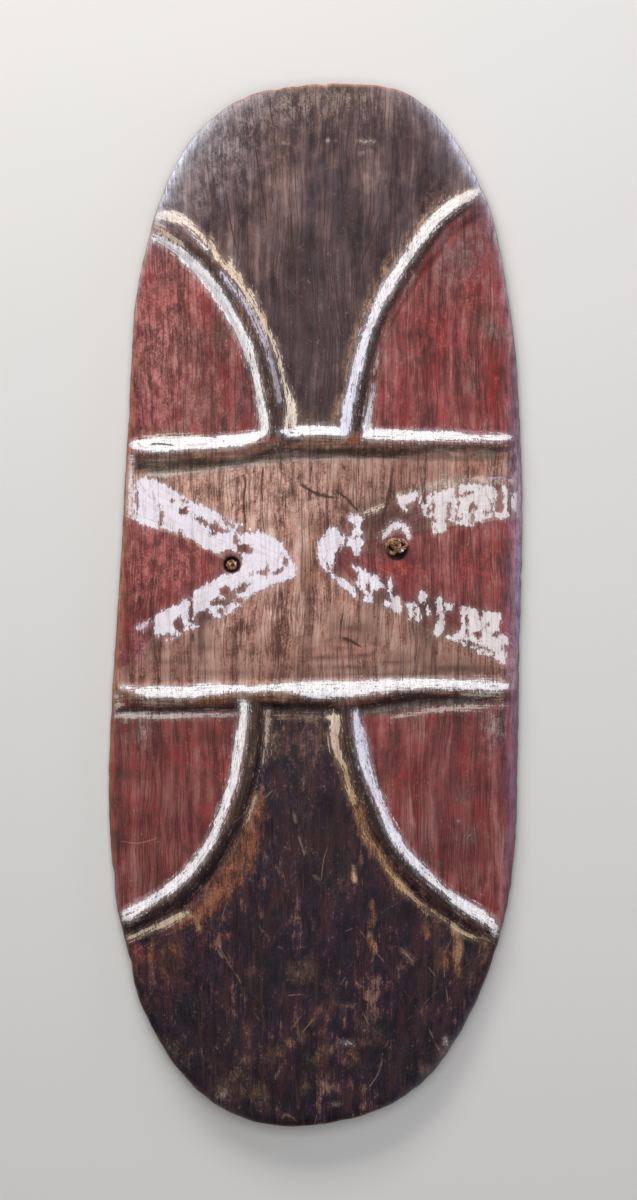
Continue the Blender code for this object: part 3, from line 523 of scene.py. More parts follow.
STAINS = tuple(Patch(*mark) for mark in (
    # Upper end: lighter left and top, with a painted bluish-grey highlight on the bumps at the
    # upper left, and dark towards the narrow foot.
    (215, 150, 64, 36, 60, (142, 126, 130), 0.62), (265, 108, 40, 14, 10, (142, 124, 118), 0.45),
    (320, 108, 90, 24, 0, (132, 112, 106), 0.4), (340, 102, 60, 10, 0, (136, 116, 108), 0.45),
    (280, 160, 16, 34, 0, (120, 88, 78), 0.4), (262, 240, 24, 40, 0, (108, 80, 72), 0.3),
    (330, 330, 44, 110, 0, (60, 46, 50), 0.75), (290, 230, 16, 24, 0, (62, 46, 48), 0.4),
    (345, 215, 12, 14, 0, (58, 46, 48), 0.45), (300, 415, 22, 12, 0, (92, 68, 54), 0.45),
    (325, 422, 22, 5, 0, (120, 94, 76), 0.5), (430, 195, 22, 10, 40, (112, 84, 72), 0.4),
    (328, 143, 2.6, 1.8, 0, (190, 170, 162), 0.75),
    (335, 143.5, 2.2, 1.6, 0, (180, 160, 152), 0.7),
    (359, 143, 2.2, 1.5, 0, (176, 156, 148), 0.65), (365, 144, 2.4, 1.8, 0, (190, 170, 162), 0.75),
    (372, 143.5, 2.6, 1.8, 0, (190, 170, 162), 0.75),
    (362, 156, 2.6, 1.6, 0, (180, 160, 152), 0.7),
    (370, 153.5, 2.2, 1.6, 0, (180, 160, 152), 0.65), (285, 146, 4, 2, 0, (160, 136, 120), 0.6),
    # Red fields: dusty and bright areas.
    (165, 350, 40, 80, 0, (178, 114, 108), 0.7), (212, 402, 30, 30, 0, (132, 98, 93), 0.5),
    (200, 345, 26, 16, 0, (110, 84, 80), 0.45), (222, 330, 14, 12, 40, (96, 74, 62), 0.55),
    (218, 405, 12, 24, 0, (148, 58, 54), 0.25), (150, 300, 14, 50, 90, (166, 88, 80), 0.5),
    (466, 258, 36, 28, 55, (122, 98, 96), 0.7), (472, 292, 12, 14, 0, (160, 66, 58), 0.65),
    (492, 330, 14, 7, -20, (118, 104, 98), 0.75), (478, 318, 10, 9, 0, (80, 50, 46), 0.5),
    (440, 330, 18, 22, 0, (160, 62, 58), 0.5), (470, 408, 26, 10, 0, (140, 40, 38), 0.4),
    (495, 385, 12, 26, 0, (154, 50, 48), 0.55), (395, 400, 14, 22, 0, (150, 78, 76), 0.4),
    (470, 385, 8, 14, 0, (112, 88, 84), 0.4),
    # Middle band.
    (250, 660, 170, 24, 0, (132, 94, 82), 0.3), (245, 490, 84, 28, 0, (212, 168, 152), 0.6),
    (293, 494, 5, 4, 0, (104, 66, 54), 0.7), (274, 436, 8, 6, 0, (78, 54, 46), 0.9),
    (302, 477, 3, 4, 0, (116, 78, 66), 0.6), (212, 492, 8, 6, 0, (128, 92, 74), 0.5),
    (425, 472, 64, 15, 0, (148, 102, 88), 0.55), (318, 525, 12, 8, 0, (120, 88, 66), 0.5),
    (305, 570, 10, 30, 0, (140, 104, 80), 0.5), (350, 630, 40, 20, 0, (132, 94, 82), 0.35),
    (352, 650, 24, 8, 0, (188, 128, 112), 0.45), (420, 625, 16, 22, 0, (104, 80, 70), 0.55),
    # The second mark in the next line is a painted shadow under the right knot.
    (375, 522, 16, 12, 0, (94, 74, 72), 0.75), (399, 558, 13, 8, -20, (36, 18, 19), 0.8),
    (392, 569, 12, 5, 0, (176, 62, 52), 0.6), (372, 548, 9, 12, 0, (140, 96, 86), 0.7),
    (410, 525, 14, 10, 0, (112, 70, 68), 0.75), (158, 646, 10, 7, 0, (78, 60, 54), 0.75),
    (200, 640, 14, 12, 0, (120, 92, 82), 0.4), (250, 640, 16, 14, 0, (178, 136, 122), 0.4),
    (440, 664, 64, 14, 0, (122, 92, 82), 0.45), (400, 674, 110, 4, 0, (104, 78, 66), 0.6),
    (322, 657, 22, 2.6, 2, (96, 64, 52), 0.75), (352, 667, 24, 2.4, -2, (92, 62, 50), 0.75),
    (392, 662, 16, 2.4, 0, (90, 60, 48), 0.75), (455, 668, 34, 3, 0, (88, 64, 56), 0.7),
    (362, 655, 12, 2.4, 4, (86, 56, 44), 0.8), (346, 640, 7, 3.4, -20, (82, 52, 40), 0.75),
    (328, 640, 6, 3.0, 15, (100, 68, 56), 0.6), (375, 643, 7, 2.6, -8, (96, 62, 50), 0.65),
    (308, 650, 8, 2.6, 5, (104, 72, 60), 0.6), (340, 648, 9, 2.0, 0, (90, 58, 46), 0.65),
    (300, 668, 30, 3, 0, (116, 84, 70), 0.5), (175, 662, 30, 3, 0, (108, 78, 68), 0.5),
    (220, 672, 40, 3, 0, (118, 86, 74), 0.5), (205, 648, 12, 3, 0, (112, 80, 70), 0.5),
    (368, 630, 14, 12, 0, (112, 82, 70), 0.4), (352, 628, 12, 4, 0, (90, 56, 44), 0.65),
    (398, 656, 12, 5, 0, (112, 82, 68), 0.4), (418, 656, 5, 14, 0, (92, 68, 58), 0.5),
    (430, 636, 8, 14, 0, (98, 72, 62), 0.5), (332, 634, 3, 26, 0, (124, 84, 74), 0.55),
    (310, 640, 3, 30, 0, (128, 92, 80), 0.5), (130, 625, 10, 26, 0, (138, 56, 54), 0.75),
    (141, 650, 6, 13, 0, (186, 124, 134), 0.7), (126, 668, 7, 12, 0, (124, 62, 58), 0.6),
    (150, 672, 20, 8, 0, (168, 112, 104), 0.45), (508, 648, 6, 14, 0, (184, 106, 122), 0.75),
    (396, 568, 24, 9, 0, (186, 82, 72), 0.6), (420, 560, 14, 12, 0, (110, 50, 52), 0.5),
    (470, 565, 20, 20, 0, (166, 68, 62), 0.45), (160, 566, 46, 34, 0, (174, 100, 95), 0.8),
    (231, 563, 13, 13, 0, (104, 46, 42), 0.8), (220, 603, 9, 5, 0, (92, 76, 66), 0.85),
    (206, 617, 11, 9, 0, (96, 78, 68), 0.85), (242, 588, 6, 4, 0, (96, 80, 70), 0.85),
    (226, 592, 6, 6, 0, (122, 46, 52), 0.85), (245, 549, 8, 5, 0, (134, 44, 48), 0.85),
    (184, 512, 5, 5, 0, (132, 56, 56), 0.8), (192, 611, 3, 18, 0, (118, 44, 48), 0.8),
    (179, 626, 6, 9, 0, (120, 48, 50), 0.8), (210, 526, 16, 6, -33, (128, 82, 72), 0.6),
    (380, 514, 18, 15, 0, (92, 73, 66), 0.85), (379, 523, 6, 6, 0, (52, 36, 42), 0.7),
    (414, 521, 17, 12, 0, (116, 82, 84), 0.75), (470, 506, 30, 12, 0, (124, 74, 70), 0.5),
    (341, 560, 8, 15, 0, (118, 54, 58), 0.85), (378, 598, 14, 12, 0, (96, 72, 64), 0.7),
    (450, 618, 11, 13, 0, (122, 46, 50), 0.8), (426, 602, 16, 10, 0, (120, 58, 58), 0.6),
    (468, 646, 18, 4, -18, (112, 92, 84), 0.75), (506, 636, 5, 20, 0, (168, 82, 92), 0.7),
    # Lower red fields.
    (160, 800, 60, 120, 0, (92, 44, 44), 0.35), (445, 810, 60, 120, 0, (88, 40, 42), 0.35),
    (142, 732, 6, 18, 0, (164, 138, 134), 0.7), (130, 730, 14, 14, 0, (124, 88, 82), 0.45),
    (215, 738, 20, 8, 0, (90, 46, 44), 0.55), (125, 775, 16, 6, 0, (86, 52, 50), 0.55),
    (215, 772, 14, 20, 0, (140, 56, 52), 0.45), (120, 842, 12, 9, 0, (72, 50, 46), 0.5),
    (150, 880, 18, 18, 0, (104, 52, 50), 0.4), (112, 828, 5, 8, 0, (176, 96, 88), 0.6),
    (494, 725, 9, 12, 30, (176, 152, 150), 0.75), (490, 745, 6, 14, 0, (150, 104, 104), 0.55),
    (405, 775, 14, 20, 0, (136, 40, 40), 0.55), (385, 750, 16, 14, 0, (128, 56, 54), 0.45),
    (465, 790, 14, 10, 0, (84, 50, 54), 0.55), (470, 835, 16, 14, 0, (116, 84, 80), 0.45),
    (475, 775, 8, 16, 0, (140, 58, 54), 0.45), (458, 821, 1.6, 1.2, 0, (214, 204, 200), 0.9),
    (201, 885, 1.6, 2.4, 0, (214, 206, 196), 0.9),
    # Lower end.
    (150, 965, 16, 34, 70, (96, 56, 52), 0.62), (135, 950, 5, 16, 75, (150, 74, 74), 0.75),
    (225, 934, 5, 4, 0, (132, 76, 56), 0.88), (175, 950, 10, 8, 0, (110, 68, 48), 0.62),
    (302, 968, 13, 10, 0, (94, 70, 56), 0.75), (250, 968, 5, 5, 0, (104, 66, 60), 0.69),
    (275, 1052, 7, 8, 0, (122, 92, 68), 0.81), (315, 1058, 9, 6, 0, (112, 84, 64), 0.69),
    (333, 1046, 7, 6, 0, (104, 78, 66), 0.69), (352, 1055, 6, 9, 0, (122, 86, 66), 0.69),
    (365, 1040, 9, 5, 0, (96, 72, 62), 0.62), (245, 1065, 6, 12, 0, (110, 86, 72), 0.62),
    (222, 1092, 6, 7, 0, (142, 122, 112), 0.75), (258, 1092, 13, 10, 0, (92, 72, 54), 0.75),
    (306, 1086, 6, 6, 0, (98, 76, 60), 0.69), (336, 1101, 5, 2.5, 0, (158, 138, 124), 0.90),
    (425, 1068, 9, 5, -40, (120, 94, 84), 0.81), (446, 1041, 3, 4, 0, (190, 172, 168), 0.90),
    (442, 1052, 7, 7, 0, (116, 88, 82), 0.62), (314, 1014, 3, 9, -25, (128, 92, 70), 0.81),
    (345, 1003, 10, 3, 0, (104, 80, 68), 0.69), (366, 1024, 8, 10, 0, (92, 70, 62), 0.62),
    (440, 960, 6, 10, 0, (120, 84, 64), 0.62), (470, 970, 8, 14, 0, (98, 72, 62), 0.56),
    (215, 1030, 44, 22, -30, (34, 26, 30), 0.56), (400, 1060, 30, 22, 20, (36, 30, 38), 0.56),
    (300, 840, 30, 60, 0, (44, 32, 40), 0.44), (302, 740, 26, 18, 0, (92, 68, 60), 0.5),
    (306, 768, 12, 26, 0, (84, 62, 60), 0.4), (152, 950, 3, 18, 0, (110, 74, 52), 0.6),
    (163, 962, 4, 18, 0, (104, 66, 46), 0.6), (147, 1005, 12, 8, 0, (92, 64, 54), 0.6),
    (180, 1050, 26, 10, -25, (82, 64, 56), 0.5), (290, 1040, 8, 4, 0, (120, 88, 70), 0.6),
    (302, 1030, 5, 7, 0, (96, 70, 58), 0.5), (375, 1018, 7, 18, 0, (92, 70, 60), 0.5),
    (330, 985, 8, 14, 0, (84, 62, 58), 0.45), (252, 970, 12, 6, 0, (96, 60, 52), 0.5),
    (424, 1010, 7, 5, 0, (110, 78, 64), 0.5), (455, 950, 4, 20, 0, (136, 92, 66), 0.6),
    (444, 958, 4, 10, 0, (120, 80, 60), 0.55), (234, 1082, 14, 12, 0, (88, 68, 56), 0.55),
    (285, 1100, 7, 5, 0, (20, 15, 18), 0.7), (345, 1066, 30, 5, 0, (28, 20, 26), 0.55),
    (260, 1000, 14, 40, 0, (34, 24, 32), 0.45), (160, 1012, 20, 10, 0, (30, 22, 26), 0.45),
    (420, 985, 16, 24, 0, (38, 30, 40), 0.45), (395, 905, 10, 30, 0, (36, 26, 34), 0.4),
    (330, 890, 14, 26, 0, (52, 36, 40), 0.4), (362, 826, 10, 12, 0, (110, 76, 58), 0.45),
    (345, 880, 7, 10, 0, (88, 60, 52), 0.45),
))  # fmt: skip

# Painted highlights and reflections along the rounded rim: bluish on the two upper arcs, lavender
# down the right edge, and warm along the top and the left edge, where they also carry the bare
# rim's own orange and tan.
RIM_HIGHLIGHTS = tuple(Patch(*mark) for mark in (
    (180, 160, 76, 70, 55, (160, 156, 164), 0.72, 22.0),
    (174, 170, 60, 34, 55, (222, 228, 244), 1.0, 5.5),
    (232, 112, 48, 24, 25, (178, 168, 172), 0.65, 7.0),
    (455, 150, 66, 50, -55, (150, 144, 156), 0.6, 16.0),
    (462, 158, 62, 26, -55, (222, 222, 240), 1.0, 5.0),
    (500, 270, 95, 18, -80, (196, 180, 190), 0.75, 3.5),
    (522, 560, 170, 32, 90, (156, 142, 172), 0.85, 10.0),
    (520, 790, 120, 28, 90, (112, 96, 126), 0.75, 9.0),
    (330, 84, 120, 18, 0, (212, 146, 116), 0.95, 2.2),
    (146, 275, 70, 18, 75, (204, 178, 174), 0.80, 2.4),
    (128, 400, 70, 16, 90, (176, 116, 96), 0.80, 4.0),
    (118, 580, 130, 18, 88, (182, 122, 98), 0.90, 5.5),
    (108, 755, 70, 18, 90, (152, 100, 78), 0.85, 4.5),
    (114, 880, 60, 16, -80, (150, 118, 116), 0.60, 2.5),
    (440, 1050, 90, 24, 48, (112, 108, 120), 0.7, 4.0),
    (225, 1100, 40, 18, -35, (110, 98, 96), 0.6, 4.0),
))  # fmt: skip

CHIPS = tuple(Patch(*chip) for chip in (
    (184.5, 511.5, 4, 4), (161.5, 519, 9, 1.7, 90), (205, 522.5, 9, 2.8, -33), (216, 528, 4.5, 5),
    (214, 535, 3.5, 2), (223, 531, 5, 2, -20), (229, 524, 5, 1.6, -30), (243, 530, 6, 5, 10),
    (250, 532, 3.5, 1.6), (243, 548.5, 5, 4.5, 20), (249, 550, 3, 4), (230, 562, 12.5, 11.5),
    (226, 592, 5.5, 6), (222, 602, 9, 4), (232, 597, 4.5, 5.5), (243, 588, 5.5, 3, 30),
    (208, 617, 5.5, 7.5), (199, 620, 5.5, 6), (192, 611, 18, 2.1, 90), (179, 626, 5, 8),
    (262, 573, 4, 2.8), (267, 570, 2.4, 4.4), (278, 572, 4.5, 1.8, 20), (240, 601, 3.5, 2.4),
    (222, 611, 3.5, 3), (152, 628, 3, 9), (168, 637, 7, 3), (137, 500, 1.8, 9), (173, 501, 2, 1.6),
    (187, 503, 4, 1.6, -30), (182, 534, 2.4, 3), (237, 540, 1.8, 4), (286, 561, 1.6, 5, 20),
    (253, 574, 2, 1.8), (457, 491, 1.1, 6), (457, 508, 1.5, 6), (448, 512, 1.8, 7),
    (433, 511, 1.0, 8), (419, 504, 0.9, 6), (473, 507, 4.6, 3.6), (472, 517, 1, 6),
    (459, 519, 3.6, 2), (466, 494, 6, 1, 20), (487, 513, 2.4, 1.6), (491, 505, 1.3, 4),
    (428, 511, 1.2, 4), (477, 635, 3.4, 2.6), (480, 613, 1.5, 4.5), (487, 625, 1.2, 2.4),
    (495, 634, 2, 1.4), (490, 651, 5, 1.4, -20), (474, 645, 11, 1.8, -16), (410, 507, 4, 3, 20),
    (424, 500, 1.2, 5), (368, 588, 1.2, 4), (340, 551, 1.4, 4), (327, 566, 1.2, 3),
    (414, 612, 1, 3.4), (467, 622, 1, 8),
))  # fmt: skip

LEFT_CHEVRON = (
    (142, 478), (155, 480), (170, 487), (184, 497), (200, 505), (214, 511), (228, 518), (240, 524),
    (252, 530), (266, 534), (277, 540), (284, 549), (289, 556), (294, 561), (297, 568), (294, 576),
    (286, 581), (273, 585), (262, 591), (252, 595), (243, 602), (232, 612), (218, 619), (205, 622),
    (196, 628), (184, 632), (172, 640), (160, 638), (154, 632), (155, 616), (166, 609), (180, 603),
    (190, 597), (196, 590), (208, 583), (219, 577), (228, 571), (222, 556), (214, 552), (204, 547),
    (196, 541), (182, 535), (168, 530), (152, 528), (134, 520), (132, 505), (133, 490),
)  # fmt: skip
RIGHT_CHEVRON = (
    (516, 484), (470, 482), (424, 494), (384, 503), (352, 513), (332, 527), (318, 546), (319, 566),
    (331, 578), (352, 593), (382, 607), (414, 622), (442, 638), (486, 659), (507, 664), (507, 624),
    (484, 608), (450, 602), (410, 592), (378, 572), (352, 553), (374, 541), (410, 537), (446, 531),
    (480, 527), (516, 519),
)  # fmt: skip
PIECES = (
    LEFT_CHEVRON,
    # The right chevron's tip, its upper arm and its lower arm.
    ((333, 527), (340, 533), (345, 542), (337, 553), (334, 562), (332, 571), (326, 572), (321, 564),
     (317, 552), (322, 539)),
    ((348, 518), (354, 514), (362, 518), (360, 528), (363, 534), (357, 536), (350, 541), (348, 538),
     (354, 527), (349, 522)),
    ((346, 545), (352, 540), (364, 540), (362, 548), (357, 557), (352, 549)),
    ((396, 498), (407, 494), (417, 492), (417, 500), (410, 504), (405, 512), (400, 507)),
    ((418, 498), (430, 494), (445, 489), (462, 485), (480, 484), (494, 487), (496, 500), (493, 514),
     (488, 519), (478, 522), (468, 527), (457, 525), (446, 520), (445, 531), (433, 534), (432, 520),
     (426, 518), (421, 508)),
    ((494, 514), (505, 511), (509, 517), (500, 520)),
    ((503, 486), (507, 487), (507, 509), (504, 508)),
    ((512, 493), (516, 492), (517, 505), (514, 512)),
    ((330, 573), (341, 578), (350, 585), (358, 597), (350, 594), (338, 584)),
    ((352, 566), (360, 568), (369, 573), (377, 577), (387, 590), (379, 589), (372, 594), (371, 604),
     (364, 602), (363, 592), (356, 583), (359, 576)),
    ((388, 577), (391, 577), (393, 601), (389, 598)),
    ((382, 603), (393, 600), (396, 595), (401, 600), (400, 613), (390, 609)),
    ((406, 604), (412, 602), (420, 609), (418, 620), (409, 618)),
    ((417, 597), (421, 592), (426, 595), (423, 606)),
    ((426, 603), (429, 606), (429, 614), (426, 613)),
    ((434, 598), (441, 599), (443, 633), (439, 638), (433, 631), (438, 616)),
    ((443, 603), (453, 605), (451, 611), (445, 608)),
    ((461, 606), (478, 610), (492, 612), (501, 617), (498, 632), (503, 646), (506, 663), (490, 657),
     (476, 651), (463, 645), (446, 637), (461, 630)),
    ((500, 635), (507, 636), (508, 643), (502, 644)),
)  # fmt: skip
LEFT_RED = (
    (90, 497), (132, 516), (152, 528), (182, 538), (204, 550), (222, 558), (236, 564), (224, 576),
    (200, 592), (180, 606), (158, 622), (150, 640), (128, 665), (90, 680),
)  # fmt: skip
RIGHT_RED = (
    (540, 515), (500, 520), (470, 524), (440, 528), (410, 532), (372, 540), (345, 545), (338, 562),
    (352, 580), (380, 592), (410, 603), (440, 618), (466, 630), (500, 646), (540, 656),
)  # fmt: skip

# The middle lines of the chevrons' arms, which the brush followed.
ARMS = (
    ((138, 497), (215, 530), (292, 563)), ((160, 632), (225, 592), (290, 566)),
    ((516, 502), (420, 512), (330, 545)), ((505, 650), (410, 600), (325, 560)),
)  # fmt: skip

# Nicks in the board's edge: column, row, width and depth on the layout grid.
NICKS = (
    (278, 90, 5, 1.7), (299, 88, 4, 1.0), (324, 86, 4, 1.0), (180, 158, 4, 0.9),
    (477, 189, 5, 1.2), (130, 413, 8, 1.0), (521, 577, 4, 1.1), (114, 877, 10, 1.3),
    (129, 964, 7, 1.2), (459, 1052, 8, 0.9), (447, 1062, 4, 1.0), (118, 512, 4, 0.9),
)  # fmt: skip

# What a field holds on the points that aren't on the face, where it isn't -1.
ELSEWHERE = {
    "scratch": 9.0, "scratch_shown": 0.0, "pale_scratch": 9.0, "pale_scratch_shown": 0.0,
    "bare": 1.0, "flute": 0.0, "inset": 0.0, "soot": 0.0, "chevron_wear": 0.0,
}  # fmt: skip


@dataclass(frozen=True)
class Rib:
    """A raised rib: its crest as shares of the board's half width and half length, how far its
    flanks reach left and right of the way along it, at its start and end, and the share at which
    it joins another rib, below 0 for none."""

    path: tuple[Place, ...]
    left: tuple[float, float]
    right: tuple[float, float]
    joined: float = -1.0


RIBS = {
    "upper_cross": Rib(
        (
            (-0.925, 0.285), (-0.700, 0.289), (-0.412, 0.296), (-0.186, 0.304), (-0.027, 0.310),
            (0.166, 0.310), (0.571, 0.304), (0.790, 0.302), (0.998, 0.300),
        ), (0.020, 0.018), (0.021, 0.013),
    ),
    "lower_cross": Rib(
        (
            (-0.988, -0.183), (-0.798, -0.179), (-0.557, -0.177), (-0.316, -0.173),
            (-0.075, -0.171), (0.142, -0.171), (0.407, -0.166), (0.648, -0.162), (0.982, -0.163),
        ), (0.018, 0.018), (0.016, 0.013),
    ),
    "upper_left": Rib(
        (
            (-0.800, 0.738), (-0.725, 0.727), (-0.605, 0.696), (-0.489, 0.648), (-0.378, 0.587),
            (-0.296, 0.523), (-0.239, 0.456), (-0.200, 0.385), (-0.178, 0.304),
        ), (0.018, 0.020), (0.022, 0.020), 1.0,
    ),
    "upper_right": Rib(
        (
            (0.845, 0.783), (0.745, 0.769), (0.590, 0.721), (0.484, 0.663), (0.354, 0.587),
            (0.272, 0.510), (0.219, 0.433), (0.190, 0.356), (0.178, 0.308),
        ), (0.018, 0.018), (0.018, 0.020), 1.0,
    ),
    "lower_left": Rib(
        (
            (-0.308, -0.173), (-0.316, -0.221), (-0.330, -0.279), (-0.364, -0.346),
            (-0.422, -0.413), (-0.504, -0.471), (-0.614, -0.533), (-0.749, -0.575),
            (-0.945, -0.612),
        ), (0.016, 0.017), (0.018, 0.018), 0.0,
    ),
    "lower_right": Rib(
        (
            (0.147, -0.171), (0.161, -0.250), (0.200, -0.317), (0.258, -0.385), (0.335, -0.442),
            (0.431, -0.494), (0.552, -0.542), (0.706, -0.590), (0.905, -0.631),
        ), (0.019, 0.018), (0.018, 0.018), 0.0,
    ),
}  # fmt: skip


@dataclass
class BoardShape:
    """The board's outline and heights, before any fine wear."""

    length: float
    width: float
    thickness: float = 0.022
    side_thickness: float = 0.016
    hollow_depth: float = 0.028
    hollow_half_width: float = 0.215
    end_fall: float = 0.007
    end_thinning: float = 0.003
    fall_start: float = 0.55
    edge_round: float = 0.012
    edge_drop: float = 0.007
    back_bevel: float = 0.003
    rib_height: float = 0.009
    rib_fade: float = 0.014
    outline: tuple[Place, ...] = (
        (0.12, 1.000), (0.388, 0.990), (0.552, 0.952), (0.680, 0.890), (0.783, 0.817),
        (0.860, 0.740), (0.918, 0.625), (0.961, 0.510), (0.985, 0.370), (1.000, 0.200),
        (0.985, -0.100), (0.976, -0.317), (0.966, -0.452), (0.932, -0.567), (0.865, -0.670),
        (0.765, -0.770), (0.610, -0.875), (0.440, -0.940), (0.220, -0.980), (-0.080, -1.000),
        (-0.310, -0.990), (-0.508, -0.952), (-0.696, -0.875), (-0.850, -0.760), (-0.910, -0.663),
        (-0.966, -0.567), (-1.000, -0.375), (-0.985, -0.183), (-0.947, 0.048), (-0.913, 0.298),
        (-0.890, 0.460), (-0.868, 0.587), (-0.807, 0.702), (-0.749, 0.779), (-0.663, 0.856),
        (-0.557, 0.913), (-0.400, 0.962), (-0.215, 0.989),
    )  # fmt: skip

    def to_size(self, shares: Iterable[Place]) -> Array:
        """Turns shares of the half width and half length into places."""
        return np.array(list(shares)) * (self.width / 2, self.length / 2)

    def loop(self, step: float) -> Array:
        """Draws the outline anticlockwise.

        Args:
            step: Distance between its points, in metres.

        Returns:
            The outline, which fills the board's width and length exactly.
        """
        loop = smooth_path(self.to_size(self.outline)[::-1], step, closed=True)
        low, high = loop.min(axis=0), loop.max(axis=0)
        return (loop - (low + high) / 2) * ((self.width, self.length) / (high - low))

    def end_share(self, points: Array) -> Array:
        """Rises from 0 where the ends begin to lean back to 1 at the very end."""
        along = 2 * np.abs(points[:, 1]) / self.length
        return np.clip((along - self.fall_start) / (1 - self.fall_start), 0, 1) ** 2

    def face(self, points: Array) -> Array:
        """Height of the bowed face without its ribs and rounded edge."""
        bow = self.hollow_depth + self.thickness - self.side_thickness
        across = 2 * points[:, 0] / self.width
        lean = (self.end_fall + self.end_thinning) * self.end_share(points)
        return self.side_thickness + bow * (1 - across**2) - lean

    def back(self, points: Array) -> Array:
        """Height of the hollow back, and zero on the strips that it lies on."""
        across = points[:, 0] / self.hollow_half_width
        fall = self.end_fall * self.end_share(points)
        return np.maximum(0, self.hollow_depth * (1 - across**2) - fall)


@dataclass(frozen=True)
class Hole:
    """A hole through the board with a flared mouth, where the cord's end is knotted."""

    place: Place
    mouth: float
    bore: float = 0.0053
    depth: float = 0.009

    def ring(self, radius: float, sides: int) -> Array:
        """Points round the hole at a radius."""
        turns = np.arange(sides) * 2 * math.pi / sides
        return np.array(self.place) + radius * np.stack([np.cos(turns), np.sin(turns)], axis=1)

    def off(self, points: Array) -> Array:
        """Distance of each point from the hole's middle."""
        return np.linalg.norm(points - self.place, axis=1)

    def sink(self, points: Array) -> Array:
        """How far the mouth sinks each point, with a worn lip."""
        share = np.clip((self.mouth / 2 - self.off(points)) / (self.mouth / 2 - self.bore), 0, 1)
        lip = 0.0009 * np.exp(-(((self.off(points) - self.mouth / 2) / 0.0016) ** 2))
        return self.depth * share**0.85 + lip


@dataclass
class PaintPlan:
    """Where each coat of paint and each mark lies on the face."""

    lines: dict[str, Array]
    far: float = 0.9
    margin: float = 0.008

    def cross_part(self, name: str, start: float, end: float) -> list[Place]:
        """The stretch of a straight rib's crest between two x places, and on past the board's edge
        where the end lies there."""
        line = self.lines[name]
        part = [tuple(p) for p in line if min(start, end) <= p[0] <= max(start, end)]
        if start > end:
            part.reverse()
        if abs(end) > line[:, 0].max():
            part.append((end, part[-1][1]))
        return part

    def zones(self, points: Array) -> dict[str, Array]:
        """Depth of each place inside the painted areas.

        Args:
            points: Places on the face.

        Returns:
            The depth in the red fields, the two ends and the chevrons, in metres.
        """
        far, line, cross = self.far, self.lines, self.cross_part
        upper_left, upper_right = line["upper_left"], line["upper_right"]
        lower_left, lower_right = line["lower_left"], line["lower_right"]
        fields = (
            [(-far, 0.60), *upper_left, *cross("upper_cross", -0.046, -far)],
            [(far, 0.60), *upper_right, *cross("upper_cross", 0.046, far)],
            [(-far, -0.45), *lower_left[::-1], *cross("lower_cross", -0.080, -far)],
            [(far, -0.45), *lower_right[::-1], *cross("lower_cross", 0.038, far)],
            placed(LEFT_RED),
            placed(RIGHT_RED),
        )
        upper_end = [(-far, far), (-far, 0.60), *upper_left, *cross("upper_cross", -0.046, 0.046),
                     *upper_right[::-1], (far, 0.60), (far, far)]  # fmt: skip
        lower_end = [(-far, -far), (-far, -0.42), *lower_left[::-1],
                     *cross("lower_cross", -0.080, 0.038), *lower_right, (far, -0.42),
                     (far, -far)]  # fmt: skip
        chevron = np.maximum(*(depth_in(points, placed(c)) for c in (LEFT_CHEVRON, RIGHT_CHEVRON)))
        rounded = (smooth_path(placed(piece), 0.002, closed=True) for piece in PIECES)
        pieces = np.max([depth_in(points, loop) for loop in rounded], axis=0)
        chips = np.full(len(points), 1.0)
        for chip in CHIPS:
            size = min(chip.length, chip.width) * GRID
            chips = np.minimum(chips, (chip.away(points) - 1) * size)
        return {
            "red_zone": np.max([depth_in(points, np.array(c)) for c in fields], axis=0),
            "upper_zone": depth_in(points, np.array(upper_end)),
            "lower_zone": depth_in(points, np.array(lower_end)),
            "chevron_zone": np.minimum(pieces, chips),
            "chevron_whole": chevron,
            "chevron_wear": np.exp(-((np.maximum(chips, 0) / 0.0045) ** 2)),
        }

    def near(self, stroke: Stroke, points: Array) -> Array:
        """Which points are close enough to a stroke to be measured."""
        stations = np.array(stroke.stations)
        reach = self.margin + stations[:, 2].max() * GRID
        low, high = placed(stations).min(axis=0) - reach, placed(stations).max(axis=0) + reach
        return np.flatnonzero(((points > low) & (points < high)).all(axis=1))

    def soft_coat(self, points: Array, inset: Array, marks: Sequence[Stroke | Patch]) -> Array:
        """Lays soft marks over each other.

        Args:
            points: Places on the face.
            inset: How far each is from the board's edge.
            marks: The marks, the lowest first.

        Returns:
            The colour and the cover of the marks at each place.
        """
        rgb, cover = np.zeros((len(points), 3)), np.zeros(len(points))
        for mark in marks:
            if isinstance(mark, Stroke):
                here = self.near(mark, points)
                depth, share = mark.depth(points[here])
                soft = mark.soft * GRID
                amount = mark.cover * ramp(depth, -soft, soft)
                amount += 1e-3 * np.exp(-((depth / 0.004) ** 2))
                tint = mark.tints(share)
            else:
                here = np.flatnonzero(mark.away(points) < 2.6)
                amount = mark.cover * np.exp(-(mark.away(points[here]) ** 2))
                if mark.rim:
                    amount *= np.exp(-((inset[here] / (mark.rim * GRID)) ** 1.6))
                tint = as_light(mark.tint)
            amount = np.clip(amount, 0, 1)
            rgb[here] = rgb[here] * (1 - amount[:, None]) + tint * amount[:, None]
            cover[here] = cover[here] * (1 - amount) + amount
        return np.column_stack([rgb / np.maximum(cover, 1e-5)[:, None], cover])

    def crisp_coat(self, points: Array, marks: Sequence[Stroke]) -> tuple[Array, Array]:
        """Lays crisp brush strokes side by side.

        Args:
            points: Places on the face.
            marks: The strokes.

        Returns:
            The depth of each place in its nearest stroke, and that stroke's colour and cover.
        """
        zone = np.full(len(points), -self.margin)
        coat = np.zeros((len(points), 4))
        for mark in marks:
            here = self.near(mark, points)
            depth, share = mark.depth(points[here])
            deeper = depth > zone[here]
            chosen = here[deeper]
            zone[chosen] = depth[deeper]
            coat[chosen, :3] = mark.tints(share)[deeper]
            coat[chosen, 3] = mark.cover
        return zone, coat

